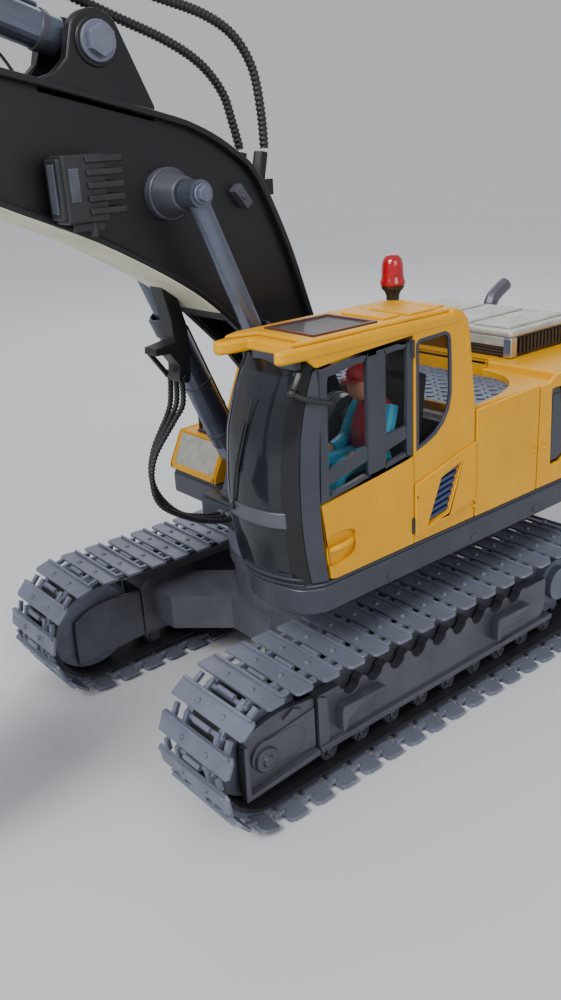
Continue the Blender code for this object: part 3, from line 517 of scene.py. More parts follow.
def build_camera():
    """The camera, turned by azimuth, elevation and roll, in degrees."""
    camera = bpy.data.objects.new("camera", bpy.data.cameras.new("camera"))
    bpy.context.scene.collection.objects.link(camera)
    azimuth, elevation, roll = (math.radians(turn) for turn in CAMERA_TURNS)
    back = Vector((math.sin(azimuth) * math.cos(elevation), -math.cos(azimuth) * math.cos(elevation),
                   math.sin(elevation)))
    right = Vector((math.cos(azimuth), math.sin(azimuth), 0.0))
    up = back.cross(right)
    side = right * math.cos(roll) + up * math.sin(roll)
    top = up * math.cos(roll) - right * math.sin(roll)
    turn = Matrix((side, top, back)).transposed().to_4x4()
    camera.matrix_world = Matrix.Translation(to_frame(CAMERA_PLACE)) @ turn
    camera.data.lens = CAMERA_LENS
    camera.data.sensor_width = CAMERA_SENSOR
    camera.data.clip_start = 0.01
    bpy.context.scene.camera = camera


def build_floor():
    paper = finish("pale_floor_paper", "#C6C7CA", "#C2C3C6", 0.8, grain_mm=4.0, blotch_mm=400.0)
    floor = Shape().block((-FLOOR_HALF, -FLOOR_HALF, -6), (FLOOR_HALF, FLOOR_HALF, -0.2)).made("floor", paper)


def build_lights():
    world = bpy.data.worlds.new("studio")
    bpy.context.scene.world = world
    world.use_nodes = True
    background = world.node_tree.nodes["Background"]
    background.inputs["Color"].default_value = linear("#DDE0E6")
    background.inputs["Strength"].default_value = 0.72
    for name, kind, place, size, power in LIGHTS:
        lamp = bpy.data.lights.new(name, kind)
        lamp.energy = power
        if kind == "SUN":
            lamp.angle = size
        else:
            lamp.size = size
        light = bpy.data.objects.new(name, lamp)
        light.location = to_frame(place)
        light.rotation_euler = (to_frame(LIGHTS_AIM) - light.location).to_track_quat("-Z", "Y").to_euler()
        bpy.context.scene.collection.objects.link(light)


# ---------------------------------------------------------------- tracks
LINKS = 40
PITCH = 14.0
CHAIN_RADIUS = (LINKS * PITCH - 4 * WHEEL_Y) / (2 * math.pi)
SAG = 1.4


def chain_place(distance):
    """(y, z, heading) on the chain line: forward along the top, round the idler and back below."""
    half = math.pi * CHAIN_RADIUS
    distance %= LINKS * PITCH
    if distance < 2 * WHEEL_Y:
        share = distance / (2 * WHEEL_Y)
        slope = -SAG * math.pi / (2 * WHEEL_Y) * math.cos(math.pi * share)
        return WHEEL_Y - distance, WHEEL_Z + CHAIN_RADIUS - SAG * math.sin(math.pi * share), math.pi - slope
    distance -= 2 * WHEEL_Y
    if distance < half:
        angle = math.pi / 2 + distance / CHAIN_RADIUS
        return (-WHEEL_Y + CHAIN_RADIUS * math.cos(angle), WHEEL_Z + CHAIN_RADIUS * math.sin(angle),
                angle + math.pi / 2)
    distance -= half
    if distance < 2 * WHEEL_Y:
        return -WHEEL_Y + distance, WHEEL_Z - CHAIN_RADIUS, 2 * math.pi
    angle = -math.pi / 2 + (distance - 2 * WHEEL_Y) / CHAIN_RADIUS
    return (WHEEL_Y + CHAIN_RADIUS * math.cos(angle), WHEEL_Z + CHAIN_RADIUS * math.sin(angle),
            angle + math.pi / 2)


def build_track(side, sign, phase):
    """The shoes of one track, each a plate with a rib, two link sides, a pin and two screws."""
    plate_low, plate_high, rib_high = 1.7, 3.1, BELT_RADIUS - CHAIN_RADIUS
    plate_plan = [(TRACK_IN + 0.2, 4.8), (TRACK_OUT - 1.2, 4.8), (TRACK_OUT, 3.6), (TRACK_OUT, -2.8),
                  (TRACK_OUT - 1.2, -4.4), (TRACK_IN + 1.2, -4.4), (TRACK_IN + 0.2, -3.2)]
    links = Shape()
    for number in range(LINKS):
        y, z, heading = chain_place(phase + number * PITCH)
        forward = Vector((0, math.cos(heading), math.sin(heading)))
        outward = Vector((0, math.sin(heading), -math.cos(heading)))
        place = Matrix.Translation((0, y, z)) @ Matrix((
            (sign, 0, 0, 0), (0, forward.y, outward.y, 0), (0, forward.z, outward.z, 0), (0, 0, 0, 1)))
        link = Shape(place)
        link.plate(plate_plan, plate_low, plate_high, axis="Z")
        link.plate([(TRACK_IN + 1.0, -2.9), (TRACK_OUT - 2.4, -2.9), (TRACK_OUT - 1.0, -3.6),
                    (TRACK_OUT - 2.0, -4.3),
                    (TRACK_IN + 2.2, -4.3)], plate_high, rib_high, axis="Z")
        for x_low, x_high in ((57.4, 60.6), (78.2, 81.2)):
            link.plate([(-7.2, -1.4), (-1.0, -2.0), (7.2, -1.4), (7.2, 1.2), (3.6, plate_low),
                        (-7.2, plate_low)],
                       x_low, x_high, axis="X")
        link.bar((64.4, -7.6, 1.6), (75.0, -7.6, 1.6), 1.35, sides=10)
        for x in (51.9, 59.4, 79.8, 86.6):
            link.block((x - 1.1, -9.2, 0.4), (x + 1.1, -3.8, 2.4))
        link.cross((-7.0, 0.0), 56.6, 82.0, 1.25, sides=10)
        for x in (61.5, 77.5):
            link.bar((x, 1.0, plate_high - 0.1), (x, 1.0, plate_high + 0.8), 1.35, 1.1, sides=12)
            link.bar((x, 1.0, plate_high + 0.7), (x, 1.0, plate_high + 1.1), 0.6, sides=6)
        if sign < 0:
            bmesh.ops.reverse_faces(link.mesh, faces=link.mesh.faces)
        links.take(link.mesh)
    links.made(f"track_links_{side}", TRACK_ZINC, "undercarriage", bevel=0.22, segments=1,
               stands_for=(f"track_belt_{side}",))


GAP_SHADE_STEPS = 160


def build_track_gap_painted_shade(side, sign):
    """Painted shade: a black band just inside the chain line. It shows through the gaps between the shoes and
    makes the gaps dark.
    """
    loops = []
    for depth in (0.6, 2.2):
        loop = []
        for step in range(GAP_SHADE_STEPS):
            y, z, heading = chain_place(step * LINKS * PITCH / GAP_SHADE_STEPS)
            loop.append((y - depth * math.sin(heading), z + depth * math.cos(heading)))
        loops.append(loop)
    gap_painted_shade = Shape(Matrix.Diagonal((sign, 1, 1, 1))).plate(loops[0], 54.5, 83.5, holes=(loops[1],))
    gap_painted_shade.made(f"track_gap_painted_shade_{side}", BLACK_MATT, "undercarriage")


ROLLER_COUNT = 9
ROLLER_RADIUS = 4.9


ROLLER_PITCH = 19.2
FRAME_IN, FRAME_FRONT = node_box("track_frame_left")[0][:2]
TAB_PITCH = 14.0
TABS = 9


def build_track_frame(side, spread):
    """The long frame, with tabs and arches along its top."""
    front = FRAME_FRONT
    scallops = []
    for i in reversed(range(TABS)):
        y = front + 27 + TAB_PITCH * i
        scallops += [(y + 1.6, 38.6), (y, 39.8), (y - 1.6, 38.6)]
        scallops += arc((y - TAB_PITCH / 2, 38.4), 4.6, 0, -180, 8)
    body = Shape(spread)
    body.plate([(front, 16.4), (82, 16.4), (86, 22), (86, 38.4)] + scallops
               + [(front + 14, 38.4), (front + 13, 41.0), (front, 41.0)], 74.0, 79.4)
    body.plate([(front, 16.4), (74, 16.4), (76, 22), (76, 42), (70, 46), (front + 4, 46), (front, 42)],
               FRAME_IN, 73.0)
    body.plate(capsule((60, WHEEL_Z), (WHEEL_Y, WHEEL_Z), 14.0), FRAME_IN, 59.5)
    body.block((56.5, front, 14.8), (81.4, 90, 16.9))
    body.block((76.5, front + 0.4, 14.0), (81.4, 90, 15.2))
    body.plate([(front - 0.2, 17), (front + 5, 17), (front + 6.5, 22), (front + 5, 39), (front - 0.2, 41.5)],
               78.8, 80.6)
    body.made(f"track_frame_body_{side}", FRAME_ZINC, "undercarriage", bevel=0.5,
              stands_for=(f"track_frame_{side}",))


def build_track_steps(side, spread):
    steps = Shape(spread)
    for y in (-62.0, 41.0):
        steps.plate([(y, 21.6), (y + 2.2, 21.6), (y + 3.4, 26.2), (y + 9, 29.4), (y + 25.5, 30.0),
                     (y + 26, 32.4), (y + 1, 33.4), (y, 31)], 79.0, 84.4)
        steps.block((78.9, y + 1.2, 22.0), (80.2, y + 26, 31.0))
    steps.made(f"track_steps_{side}", FRAME_ZINC, "undercarriage", bevel=0.5)


def build_rollers(side, spread):
    """The bottom rollers: two treads, an end cap with five screws, and the bracket above each."""
    profile = [(0, 60), (3.2, 60), (3.6, 61), (ROLLER_RADIUS, 61.4), (ROLLER_RADIUS, 65), (3.4, 66),
               (3.4, 71), (ROLLER_RADIUS, 72), (ROLLER_RADIUS, 77.2), (4.4, 78.2), (3.7, 78.2), (3.5, 77.5),
               (1.9, 77.5), (1.7, 78.8), (0.9, 79.0), (0.8, 78.2), (0, 78.2)]
    z = BELT_RADIUS - CHAIN_RADIUS + ROLLER_RADIUS + 1.0
    rollers = Shape(spread)
    for i in range(ROLLER_COUNT):
        y = -65.0 + ROLLER_PITCH * i
        rollers.lathe(profile, (0, y, z), steps=24)
        for k in range(5):
            angle = 2 * math.pi * k / 5 + 0.4 * i
            spot = (y + 2.7 * math.cos(angle), z + 2.7 * math.sin(angle))
            rollers.cross(spot, 77.2, 78.5, 0.62, sides=8)
        rollers.block((61.0, y - 1.2, z), (77.0, y + 1.2, 15.5))
    rollers.made(f"track_rollers_{side}", FRAME_ZINC, "undercarriage", bevel=0.15, segments=1)


def build_idler_yoke(side, spread):
    """The fork that carries the idler, with its slide and the bolted boss on the wheel's axle."""
    front = FRAME_FRONT
    yoke = Shape(spread)
    crest = smooth([(-82, 41.8), (-92, 42.6), (-103, 40.4), (-110.6, 36.5)], 3)
    rim = [(front - 0.6, 15.2), (front - 0.6, 40.6)] + crest + [(-111.2, 30), (-111.4, 13.2)]
    yoke.plate(rim, 75.8, 78.4)
    yoke.plate([(front - 0.6, 14.0), (front - 0.6, 16.4), (-109.4, 13.6), (-109.4, 36.8), (-111.6, 37.0),
                (-112.2, 11.4)], 78.0, 81.6)
    yoke.plate(capsule((-86, 27), (-100.0, 27.0), 6.8), 78.0, 79.6)
    yoke.plate([(-98.4, 20.2), (-96, 33.8), (front - 1, 36.5), (front - 1, 17.5)], 78.0, 79.2)
    yoke.lathe([(0, 82.2), (2.0, 82.2), (2.4, 81.6), (2.6, 80.9), (5.0, 80.9), (5.6, 80.3), (5.8, 78.4),
                (0, 78.4)], (0, -100, 25.4), steps=28)
    yoke.plate([(-90, 38.8), (-84, 36.4), (-80, 39.4), (-84.5, 42)], 76.5, 79.8)
    yoke.plate(rim, FRAME_IN + 1, 59.6)
    yoke.made(f"idler_yoke_body_{side}", FRAME_ZINC, "undercarriage", bevel=0.5,
              stands_for=(f"idler_yoke_{side}",))


def build_undercarriage():
    build_track("left", 1, 5.6)
    build_track("right", -1, 10.9)
    for side, sign in SIDES:
        # Painted shade in the gaps between the shoes.
        build_track_gap_painted_shade(side, sign)
        for build in (build_track_frame, build_track_steps, build_rollers, build_idler_yoke):
            build(side, Matrix.Diagonal((sign, 1, 1, 1)))
        dress(f"idler_{side}", TRACK_ZINC, 0.5)
        dress(f"sprocket_{side}", TRACK_ZINC, 0.4)
        dress(f"travel_motor_{side}", BLACK_MATT, 0.6)
    dress("centre_frame", FRAME_ZINC, 0.8)
    dress("slew_ring_lower", FRAME_ZINC, 0.5)
    dress("slew_ring_upper", TRACK_ZINC, 0.5)
    dress("slew_pinion", TRACK_ZINC, 0.2)
    dress("slew_motor", BLACK_MATT, 0.6)


# ---------------------------------------------------------------- cab
FLOOR = DECK_TOP + 0.3
CAB_IN = node_box("cab_shell")[0].x
ROOF_TOP = node_box("cab_shell")[1].z
SIDE_IN = HOUSE_HALF - 2.4
DOOR_REAR = -15.8
CREASE = [(-15.4, 118.7), (2.0, 122.9), (22.3, 127.6)]
FRONT_PLAN = smooth([(42.4, -80.6), (46, -83.0), (54, -84.4), (62, -84.2), (70, -82.4), (75.4, -79.2),
                     (78.8, -74.4),
                     (81.8, -67.2)], 4)
FRONT_BOW = ((84, 8.8), (93, 4.5), (101, 2.5), (110, 0.9), (122, 0.0), (134, 0.0), (143, 0.8), (152, 2.0),
             (162, 5.0),
             (169, 8.0), (175, 11.0), (184, 16.0))
QUARTER = [(-13.4, 133.4), (-8, 135.0), (-2.4, 137.4), (2.6, 141.4), (5.8, 146.6), (7.2, 153), (7.0, 165),
           (6.4, 175.4),
           (5.6, 177.6), (3.4, 178.8), (-11.4, 178.2), (-12.8, 177.6), (-13.4, 176)]


def bow(z):
    """How far the cab's front stands back at height z from where it bulges most."""
    for (low, first), (high, second) in zip(FRONT_BOW, FRONT_BOW[1:]):
        if z <= high:
            return first + (second - first) * (max(z, low) - low) / (high - low)
    return FRONT_BOW[-1][1]


def bowed(first, last, low, high, depth, outward=0.0, shape=None):
    """A wall on the cab's front from point first to last of its plan, depth thick, following the bow."""
    shape = shape or Shape()
    span = range(first, last + 1)
    steps = max(1, round((high - low) / 4))
    rings = []
    for step in range(steps + 1):
        z = low + (high - low) * step / steps
        line = [Vector((x, y + bow(z) * (1 - 0.4 * min(1, max(0, (x - 72) / 10))))) for x, y in FRONT_PLAN]
        ways = [(line[min(i + 1, len(line) - 1)] - line[max(i - 1, 0)]).normalized() for i in span]
        normals = [Vector((way.y, -way.x)) for way in ways]
        outer = [line[i] + n * outward for i, n in zip(span, normals)]
        inner = [line[i] + n * (outward - depth) for i, n in zip(span, normals)]
        rings.append([shape.mesh.verts.new((p.x, p.y, z)) for p in outer + inner[::-1]])
    count = len(rings[0])
    for lower, upper in zip(rings, rings[1:]):
        for i in range(count):
            shape.mesh.faces.new((lower[i], lower[(i + 1) % count], upper[(i + 1) % count], upper[i]))
    shape.mesh.faces.new(rings[0][::-1])
    shape.mesh.faces.new(rings[-1])
    bmesh.ops.recalc_face_normals(shape.mesh, faces=shape.mesh.faces)
    return shape


def corrugated(route, radius, ridge=0.45, pitch=1.9, sides=12):
    """A ribbed hose along route, as points and their radii."""
    line = [Vector(p) for p in smooth(route, 12)]
    walked = [0.0]
    for first, second in zip(line, line[1:]):
        walked.append(walked[-1] + (second - first).length)
    count = int(walked[-1] / (pitch / 4))
    points, radii = [], []
    span = 0
    for k in range(count + 1):
        distance = walked[-1] * k / count
        while span < len(line) - 2 and walked[span + 1] < distance:
            span += 1
        share = (distance - walked[span]) / max(walked[span + 1] - walked[span], 1e-6)
        points.append(line[span].lerp(line[span + 1], share))
        radii.append(radius - ridge * (0.0, 0.75, 1.0, 0.3)[k % 4])
    return Shape().tube(points, radius, sides=sides, radii=radii)


def hex_bolt(shape, centre, x_start, x_end, radius):
    """A bolt head with its washer, from x_start out to x_end."""
    step = 0.35 * (x_end - x_start)
    shape.cross(centre, x_start, x_start + step, radius * 1.25, sides=24)
    shape.cross(centre, x_start + step, x_end, radius, sides=6)
    return shape


def build_cab_side():
    panel = [(DOOR_REAR + 0.5, FLOOR), (24, FLOOR), (23.4, 144), (20.5, 165), (19.2, 176), (17.4, 182),
            (13.8, 185.8), (-40, 186.2), (-70, 184.8), (-69.8, 180.6), (-66, 177.4), (-50, 178.8),
            (DOOR_REAR + 0.5, 180.6)]
    louvre = [(-7.2, 98.6), (5.7, 100.6), (13.2, 120.7), (1, 117.2)]
    side = Shape().plate(panel, SIDE_IN, HOUSE_HALF - 0.5, holes=(QUARTER, louvre))
    side.made("cab_side_panel", YELLOW_ABS, "house", 0.5, stands_for=("cab_shell",))
    swell = [(DOOR_REAR + 0.5, 95.6), (10.4, 98.2), (23.7, 101.2), (23.6, 128.0)] + CREASE[::-1][1:]
    lower = Shape().plate(swell, HOUSE_HALF - 0.6, HOUSE_HALF + 0.7, holes=(moved_in(louvre, -0.3),))
    lower.made("cab_side_swell", YELLOW_ABS, "house", 0.7)
    slats = Shape()
    for k in range(7):
        z = 99.2 + 2.9 * k
        y = -7.6 + 1.12 * k
        slats.plate([(y - 1, z), (y + 16, z + 2.5), (y + 16.4, z + 4.2), (y - 0.6, z + 1.7)], SIDE_IN - 0.6,
                    HOUSE_HALF - 0.7)
    slats.plate([(-8, 98), (7, 100), (14.4, 122), (0, 118)], SIDE_IN - 2, SIDE_IN - 0.8)
    slats.made("cab_louvre", NAVY_ABS, "house", 0.2)
    lip = Shape().plate(moved_in(QUARTER, -0.5), HOUSE_HALF - 1.4, HOUSE_HALF - 0.2,
                        holes=(moved_in(QUARTER, 1.1),))
    lip.made("quarter_window_lip", SLATE_ABS, "house", 0.35)
    latches = Shape()
    for y, z in ((-14.3, 114.6), (23.3, 99.4), (65.9, 113.8), (74.5, 113.7)):
        latches.bar((HOUSE_HALF - 1, y, z + 1.6), (HOUSE_HALF + 0.7, y, z + 1.4), 0.8, sides=12)
        latches.bar((HOUSE_HALF - 1, y, z - 1.6), (HOUSE_HALF + 0.7, y, z - 1.6), 0.8, sides=12)
    latches.made("panel_latches", YELLOW_ABS, "house", 0.2)


def build_cab_tub():
    """The walls away from the door, the floor and the rear glass frame."""
    right = [(-62, FLOOR), (24, FLOOR), (23, 144), (20.5, 165), (18.4, 177), (14, 184.6), (10, 186),
             (-69, 185), (-67.3, 124)]
    window = smooth([(-60, 127), (-57, 126.4), (0, 134.4), (3, 137), (4.6, 176), (2, 178.6), (-60, 174.6),
                     (-62, 172)], 2, cyclic=True)
    wall = Shape().plate(right, CAB_IN, CAB_IN + 2.2, holes=(window,))
    wall.made("cab_right_wall", SLATE_ABS, "house", 0.4)
    back = Shape()
    back.block((CAB_IN + 2, 21.5, FLOOR), (SIDE_IN + 0.2, 23.9, 141))
    back.plate([(CAB_IN + 2, 141), (SIDE_IN, 141), (SIDE_IN, 178), (CAB_IN + 2, 178)], 16.8, 18.2, axis="Y",
               holes=([(51, 144), (73, 144), (73, 176), (51, 176)],))
    back.made("cab_back_wall", YELLOW_ABS, "house", 0.5)
    pane = Shape().block((50.2, 17.2, 143.2), (73.8, 17.8, 176.8))
    pane.made("rear_window_pane", CLEAR_ACRYLIC, "house")
    quarter = Shape().plate(moved_in(QUARTER, 0.4), SIDE_IN + 0.4, SIDE_IN + 1.0)
    quarter.made("quarter_window_pane", CLEAR_ACRYLIC, "house", stands_for=("quarter_glass",))
    floor = Shape().block((CAB_IN + 2, -66, FLOOR), (SIDE_IN + 0.4, 22, FLOOR + 2))
    floor.block((CAB_IN + 2.2, 8, FLOOR + 2), (SIDE_IN, 20, 139))
    floor.block((52, -66, FLOOR + 2), (72, -60, FLOOR + 9))
    for k in range(6):
        floor.block((50, -56 + 4 * k, FLOOR + 2), (76, -54.4 + 4 * k, FLOOR + 2.7))
    floor.made("cab_floor", BLACK_MATT, "house", 0.5)


def build_roof():
    plan = [(CAB_IN, 11), (CAB_IN, -76), (43.5, -84.2), (48, -84.8), (50, -81.5), (51, -72), (76, -72),
            (76.6, -80),
            (78.2, -83.4), (81.2, -81.4), (HOUSE_HALF, -70), (HOUSE_HALF, 11)]
    hatch = [(49.6, -62), (76, -62), (76, -31), (49.6, -31)]
    fascia = Shape().plate(plan, 180.8, 186.0, axis="Z", holes=(moved_in(hatch, -0.6),))
    fascia.made("cab_roof_fascia", YELLOW_ABS, "house", 1.6, 3)
    crown = [(CAB_IN + 2, 10), (CAB_IN + 2, -74), (46, -80), (51, -68), (76, -68), (79, -76), (80, -68),
             (80, 10)]
    top = Shape().plate(crown, 185.8, ROOF_TOP - 1.0, axis="Z", holes=(moved_in(hatch, -0.3),))
    top.made("cab_roof_crown", YELLOW_ABS, "house", 1.0, 3)
    rear = Shape().plate([(7, 181), (7, 187.4), (11, 187.2), (14.6, 185.4), (17.2, 182.2), (18.7, 176),
                          (19.8, 168),
                          (16.8, 168), (15.4, 176), (12, 181)], CAB_IN + 0.2, HOUSE_HALF - 0.1)
    rear.made("cab_roof_rear", YELLOW_ABS, "house", 1.3, 4, angle=50)
    panels = Shape()
    panels.block((52, -26, ROOF_TOP - 1.2), (76, -17, ROOF_TOP))
    panels.block((56, -14, ROOF_TOP - 1.2), (78, 2, ROOF_TOP))
    panels.block((52, 4, ROOF_TOP - 1.2), (76, 9, ROOF_TOP - 0.2))
    panels.made("cab_roof_panels", YELLOW_ABS, "house", 0.8, 3)
    lip = Shape().plate(moved_in(hatch, -0.9), ROOF_TOP - 1.2, ROOF_TOP - 0.3, axis="Z",
                        holes=(moved_in(hatch, 0.9),))
    lip.made("roof_hatch_lip", HATCH_SEAL, "house", 0.2)
    pane = Shape().plate(moved_in(hatch, 0.5), ROOF_TOP - 2.4, ROOF_TOP - 1.0, axis="Z")
    pane.made("roof_hatch_pane", HATCH_ACRYLIC, "house", 0.3, stands_for=("roof_hatch",))
    visor = Shape().block((51.2, -71.6, 176.4), (76, -68, 184)).block((49, -66, 176), (77, -63.2, 181))
    visor.made("roof_front_rail", SLATE_ABS, "house", 0.6)


def build_windscreen():
    """The bowed screen, its surround and pillar, the rail across it and the ribbed trim below."""
    glass = bowed(3, 20, 124, 177, 1.2)
    glass.made("windscreen_pane", SMOKED_ACRYLIC, "house", stands_for=("windscreen",), angle=60)
    lower = bowed(3, 20, 97, 117, 1.2)
    lower.made("windscreen_lower_pane", SMOKED_ACRYLIC, "house", angle=60)
    surround = bowed(0, 4, 92.4, 180, 2.6, 0.3)
    bowed(19, 24, 92.4, 180, 3.4, 0.2, surround)
    bowed(4, 19, 174, 180, 2.6, 0.2, surround)
    surround.made("windscreen_surround", BLACK_ABS, "house", 0.5)
    edge = bowed(0, 1, 93, 176, 2.2, 0.7)
    edge.made("windscreen_edge_strip", SLATE_ABS, "house", 0.4)
    pillar = bowed(24, 28, 92.2, 176, 3.0, 0.3)
    pillar.made("cab_left_pillar", SLATE_ABS, "house", 0.6, 3)
    rail = bowed(4, 20, 117.2, 123.8, 3.0, 0.7)
    rail.made("windscreen_cross_rail", FRAME_ZINC, "house", 0.6, 3, slot="slate_plastic")
    trim = bowed(0, 24, 85, 96.6, 2.4, -0.4)
    for z in (85.6, 88.4, 91.2, 94.0):
        bowed(1, 22, z, z + 1.3, 3.0, 0.7, trim)
    trim.made("cab_front_trim", SLATE_ABS, "house", 0.3)


def build_wiper():
    blade = [(50, -84.6, 123), (53, -85.2, 134), (56, -84.2, 147), (58.4, -82.6, 157)]
    wiper = Shape().tube(smooth(blade, 5), 0.55)
    wiper.tube([(55, -85.4, 137), (58.6, -83.4, 152), (60.4, -79.6, 166)], 0.4)
    wiper.bar((50, -83, 121), (50, -86, 122), 1.3)
    wiper.made("wiper", BLACK_MATT, "house")


def build_mirror_arm():
    route = [(82.0, -60, 163.4), (82.1, -66, 165.4), (80.8, -72, 167.4), (78, -75.4, 169.6)]
    arm = Shape().tube(smooth(route, 5), 1.0)
    arm.ball((78, -75.4, 169.6), (1.8, 1.8, 1.8))
    arm.made("mirror_arm", BLACK_MATT, "house")


def build_door_panel():
    panel = [(-63.2, 92.9), (-60, 92.2), (DOOR_REAR - 0.1, 92.4), (DOOR_REAR - 0.1, 131.0), (-66.6, 124.4)]
    grip = smooth([(-64.4, 99.6), (-58, 97.6), (-50.6, 100.6), (-49.4, 105.6), (-51, 110.4), (-63.4, 110.8)],
                  4,
                  cyclic=True)
    lower = Shape().plate(panel, SIDE_IN, HOUSE_HALF - 0.2, holes=(grip,))
    lower.made("door_panel", YELLOW_ABS, "cab_door", 0.6, 3, stands_for=("cab_door",))
    well = Shape().plate(moved_in(grip, -0.6), SIDE_IN - 0.6, SIDE_IN + 0.5)
    well.made("door_grip_well", YELLOW_ABS, "cab_door", 0.3)
    handle = Shape().tube(smooth([(HOUSE_HALF - 1.9, -63, 104.4), (HOUSE_HALF - 0.4, -60, 104.8),
                                  (HOUSE_HALF, -56, 105.2), (HOUSE_HALF - 0.8, -52, 105.4),
                                  (HOUSE_HALF - 1.9, -50.4, 105.4)], 5), 1.3)
    handle.made("door_handle", YELLOW_ABS, "cab_door")


def build_door_window():
    """The two-light window frame, the bars across it and the pane."""
    outer = [(-66.8, 125.2), (DOOR_REAR - 0.2, 131.9), (DOOR_REAR - 0.2, 179.6), (-50, 178.0), (-64.8, 175.8)]
    front = smooth([(-62.2, 128.6), (-61, 128), (-42.6, 130.8), (-41.4, 132), (-41.2, 174.6), (-42.2, 175.6),
                    (-60.4, 173.2), (-61.4, 171.6)], 2, cyclic=True)
    rear = smooth([(-31.6, 133.4), (-30.8, 132.4), (-20.4, 134), (-19.4, 135), (-19.2, 175.4), (-20.4, 176.6),
                   (-30.6, 176), (-31.6, 175)], 2, cyclic=True)
    window = Shape().plate(outer, SIDE_IN, HOUSE_HALF - 0.3, holes=(front, rear))
    window.made("door_window_frame", SLATE_ABS, "cab_door", 0.6, 3)
    bars = Shape()
    bars.plate([(-62.6, 131.4), (-41, 135.8), (-41, 142.0), (-62.6, 137.6)], SIDE_IN + 0.2, HOUSE_HALF - 0.6)
    bars.plate([(-34.4, 136.4), (-19, 139.6), (-19, 145.2), (-34.4, 143.8)], SIDE_IN + 0.2, HOUSE_HALF - 0.6)
    bars.plate([(-40.8, 142), (-31.4, 144), (-31.4, 177), (-40.8, 176)], HOUSE_HALF - 1.6, HOUSE_HALF + 0.1)
    bars.made("door_bars", SLATE_ABS, "cab_door", 0.5)
    pane = Shape().plate([(-62.8, 127.8), (-18.8, 134.0), (-18.6, 176.8), (-62.2, 174)], SIDE_IN + 0.3,
                         SIDE_IN + 0.9)
    pane.made("door_pane", CLEAR_ACRYLIC, "cab_door", stands_for=("door_glass",))


def build_door_hinges():
    hinges = Shape()
    for z in (97, 172):
        hinges.bar((HOUSE_HALF - 0.3, -16.1, z), (HOUSE_HALF - 0.3, -16.1, z + 7), 0.9)
    hinges.made("door_hinges", BLACK_MATT, "cab_door", 0.2)


SEAT_X = 62


def build_driver():
    torso = Shape().ball((SEAT_X, -20, 138), (8.6, 8.4, 16)).ball((SEAT_X, -17.5, 148), (9.4, 6, 6.5))
    torso.bar((SEAT_X, -18.5, 150), (SEAT_X, -25, 158), 3)
    torso.made("driver_torso", RED_CLOTH, "house", stands_for=("driver_figure",))
    head = Shape().ball((SEAT_X, -25.4, 160), (5.4, 6, 6.6))
    head.made("driver_head", SKIN_PVC, "house")
    cap = Shape().ball((SEAT_X, -24.8, 164.4), (6, 6.8, 4.8)).plate(
        arc((SEAT_X, -30.4), 4.8, 180, 360, 10), 162.4, 163.6, axis="Z")
    cap.made("driver_cap", RED_CLOTH, "house", 0.3)
    limbs = Shape()
    for sign in (-1, 1):
        x = SEAT_X + sign * 9
        arm = [(x, -17, 151), (x + sign * 1.6, -21, 143), (x + sign, -26, 136), (x - sign * 2, -36, 134)]
        limbs.tube(smooth(arm, 5), 2.8)
    for sign in (-1, 1):
        x = SEAT_X + sign * 4.6
        leg = [(x, -17, 128), (x, -30, 129.6)] + [(x + sign, *p)
                                                  for p in ((-44, 129), (-47, 120), (-48, 106))]
        limbs.tube(smooth(leg, 5), 4.1)
    limbs.made("driver_sleeves_and_trousers", CYAN_CLOTH, "house")
    hands = Shape()
    boots = Shape()
    for sign in (-1, 1):
        hands.ball((SEAT_X + sign * 7.6, -38, 134), (2.3, 2.9, 2.3))
        boots.ball((SEAT_X + sign * 5.6, -51, 101.4), (3.2, 6, 3.4))
    hands.made("driver_hands", SKIN_PVC, "house")
    boots.made("driver_boots", BLACK_MATT, "house")


def cushion(size, centre, turn_x, name):
    """A crowned seat pad whose edges pull in between its corners."""
    pad = Shape(Matrix.Translation(Vector(centre)) @ Matrix.Rotation(math.radians(turn_x), 4, "X"))
    steps = 12
    grid = {}
    for face in (-1, 1):
        for i in range(steps + 1):
            for j in range(steps + 1):
                u, v = 2 * i / steps - 1, 2 * j / steps - 1
                pull = 1 - 0.07 * (1 - v * v) * abs(u) ** 3, 1 - 0.07 * (1 - u * u) * abs(v) ** 3
                crown = (1 - abs(u) ** 4) * (1 - abs(v) ** 4)
                groove = 0.12 * math.exp(-((abs(u) - 0.45) / 0.06) ** 2)
                height = face * size[2] * (max(crown, 0) ** 0.35 * (1.0 - groove))
                rim = i in (0, steps) or j in (0, steps)
                if rim and (i, j, -1) in grid:
                    grid[i, j, face] = grid[i, j, -1]
                    continue
                point = Vector((u * size[0] * pull[0], v * size[1] * pull[1], 0.0 if rim else height))
                grid[i, j, face] = pad.mesh.verts.new(pad.turn @ point)
        for i in range(steps):
            for j in range(steps):
                corners = [grid[i, j, face], grid[i + 1, j, face], grid[i + 1, j + 1, face],
                           grid[i, j + 1, face]]
                pad.mesh.faces.new(corners if face > 0 else corners[::-1])
    piece = pad.made(name, SEAT_VINYL, "house", angle=60.0)
    return piece


def build_seat():
    shell = Shape().plate([(-36, 96), (-12, 96), (-10, 104), (-4, 108), (3.0, 160), (-1.0, 162), (-8, 120),
                           (-38, 119), (-39, 113), (-36, 110)], 52, 72)
    shell.block((46.5, -34, 96), (51, -10, 124)).block((73, -34, 96), (77, -10, 124))
    for x in (49, 75):
        shell.tube([(x, -28, 124), (x, -29.6, 131), (x, -33, 138)], 1.0)
        shell.ball((x, -33.4, 139), (1.8, 1.8, 2.2))
    shell.made("seat_shell", BLACK_MATT, "house", 0.8, 3, stands_for=("driver_seat", "control_console"))
    cushion((9.6, 13.5, 2.6), (SEAT_X, -24.5, 121.6), 2, "seat_cushion")
    cushion((9.4, 19, 2.4), (SEAT_X, -7.4, 141), 82, "seat_back")
    cushion((6.4, 5, 2.2), (SEAT_X, -2.8, 166), 82, "seat_headrest")


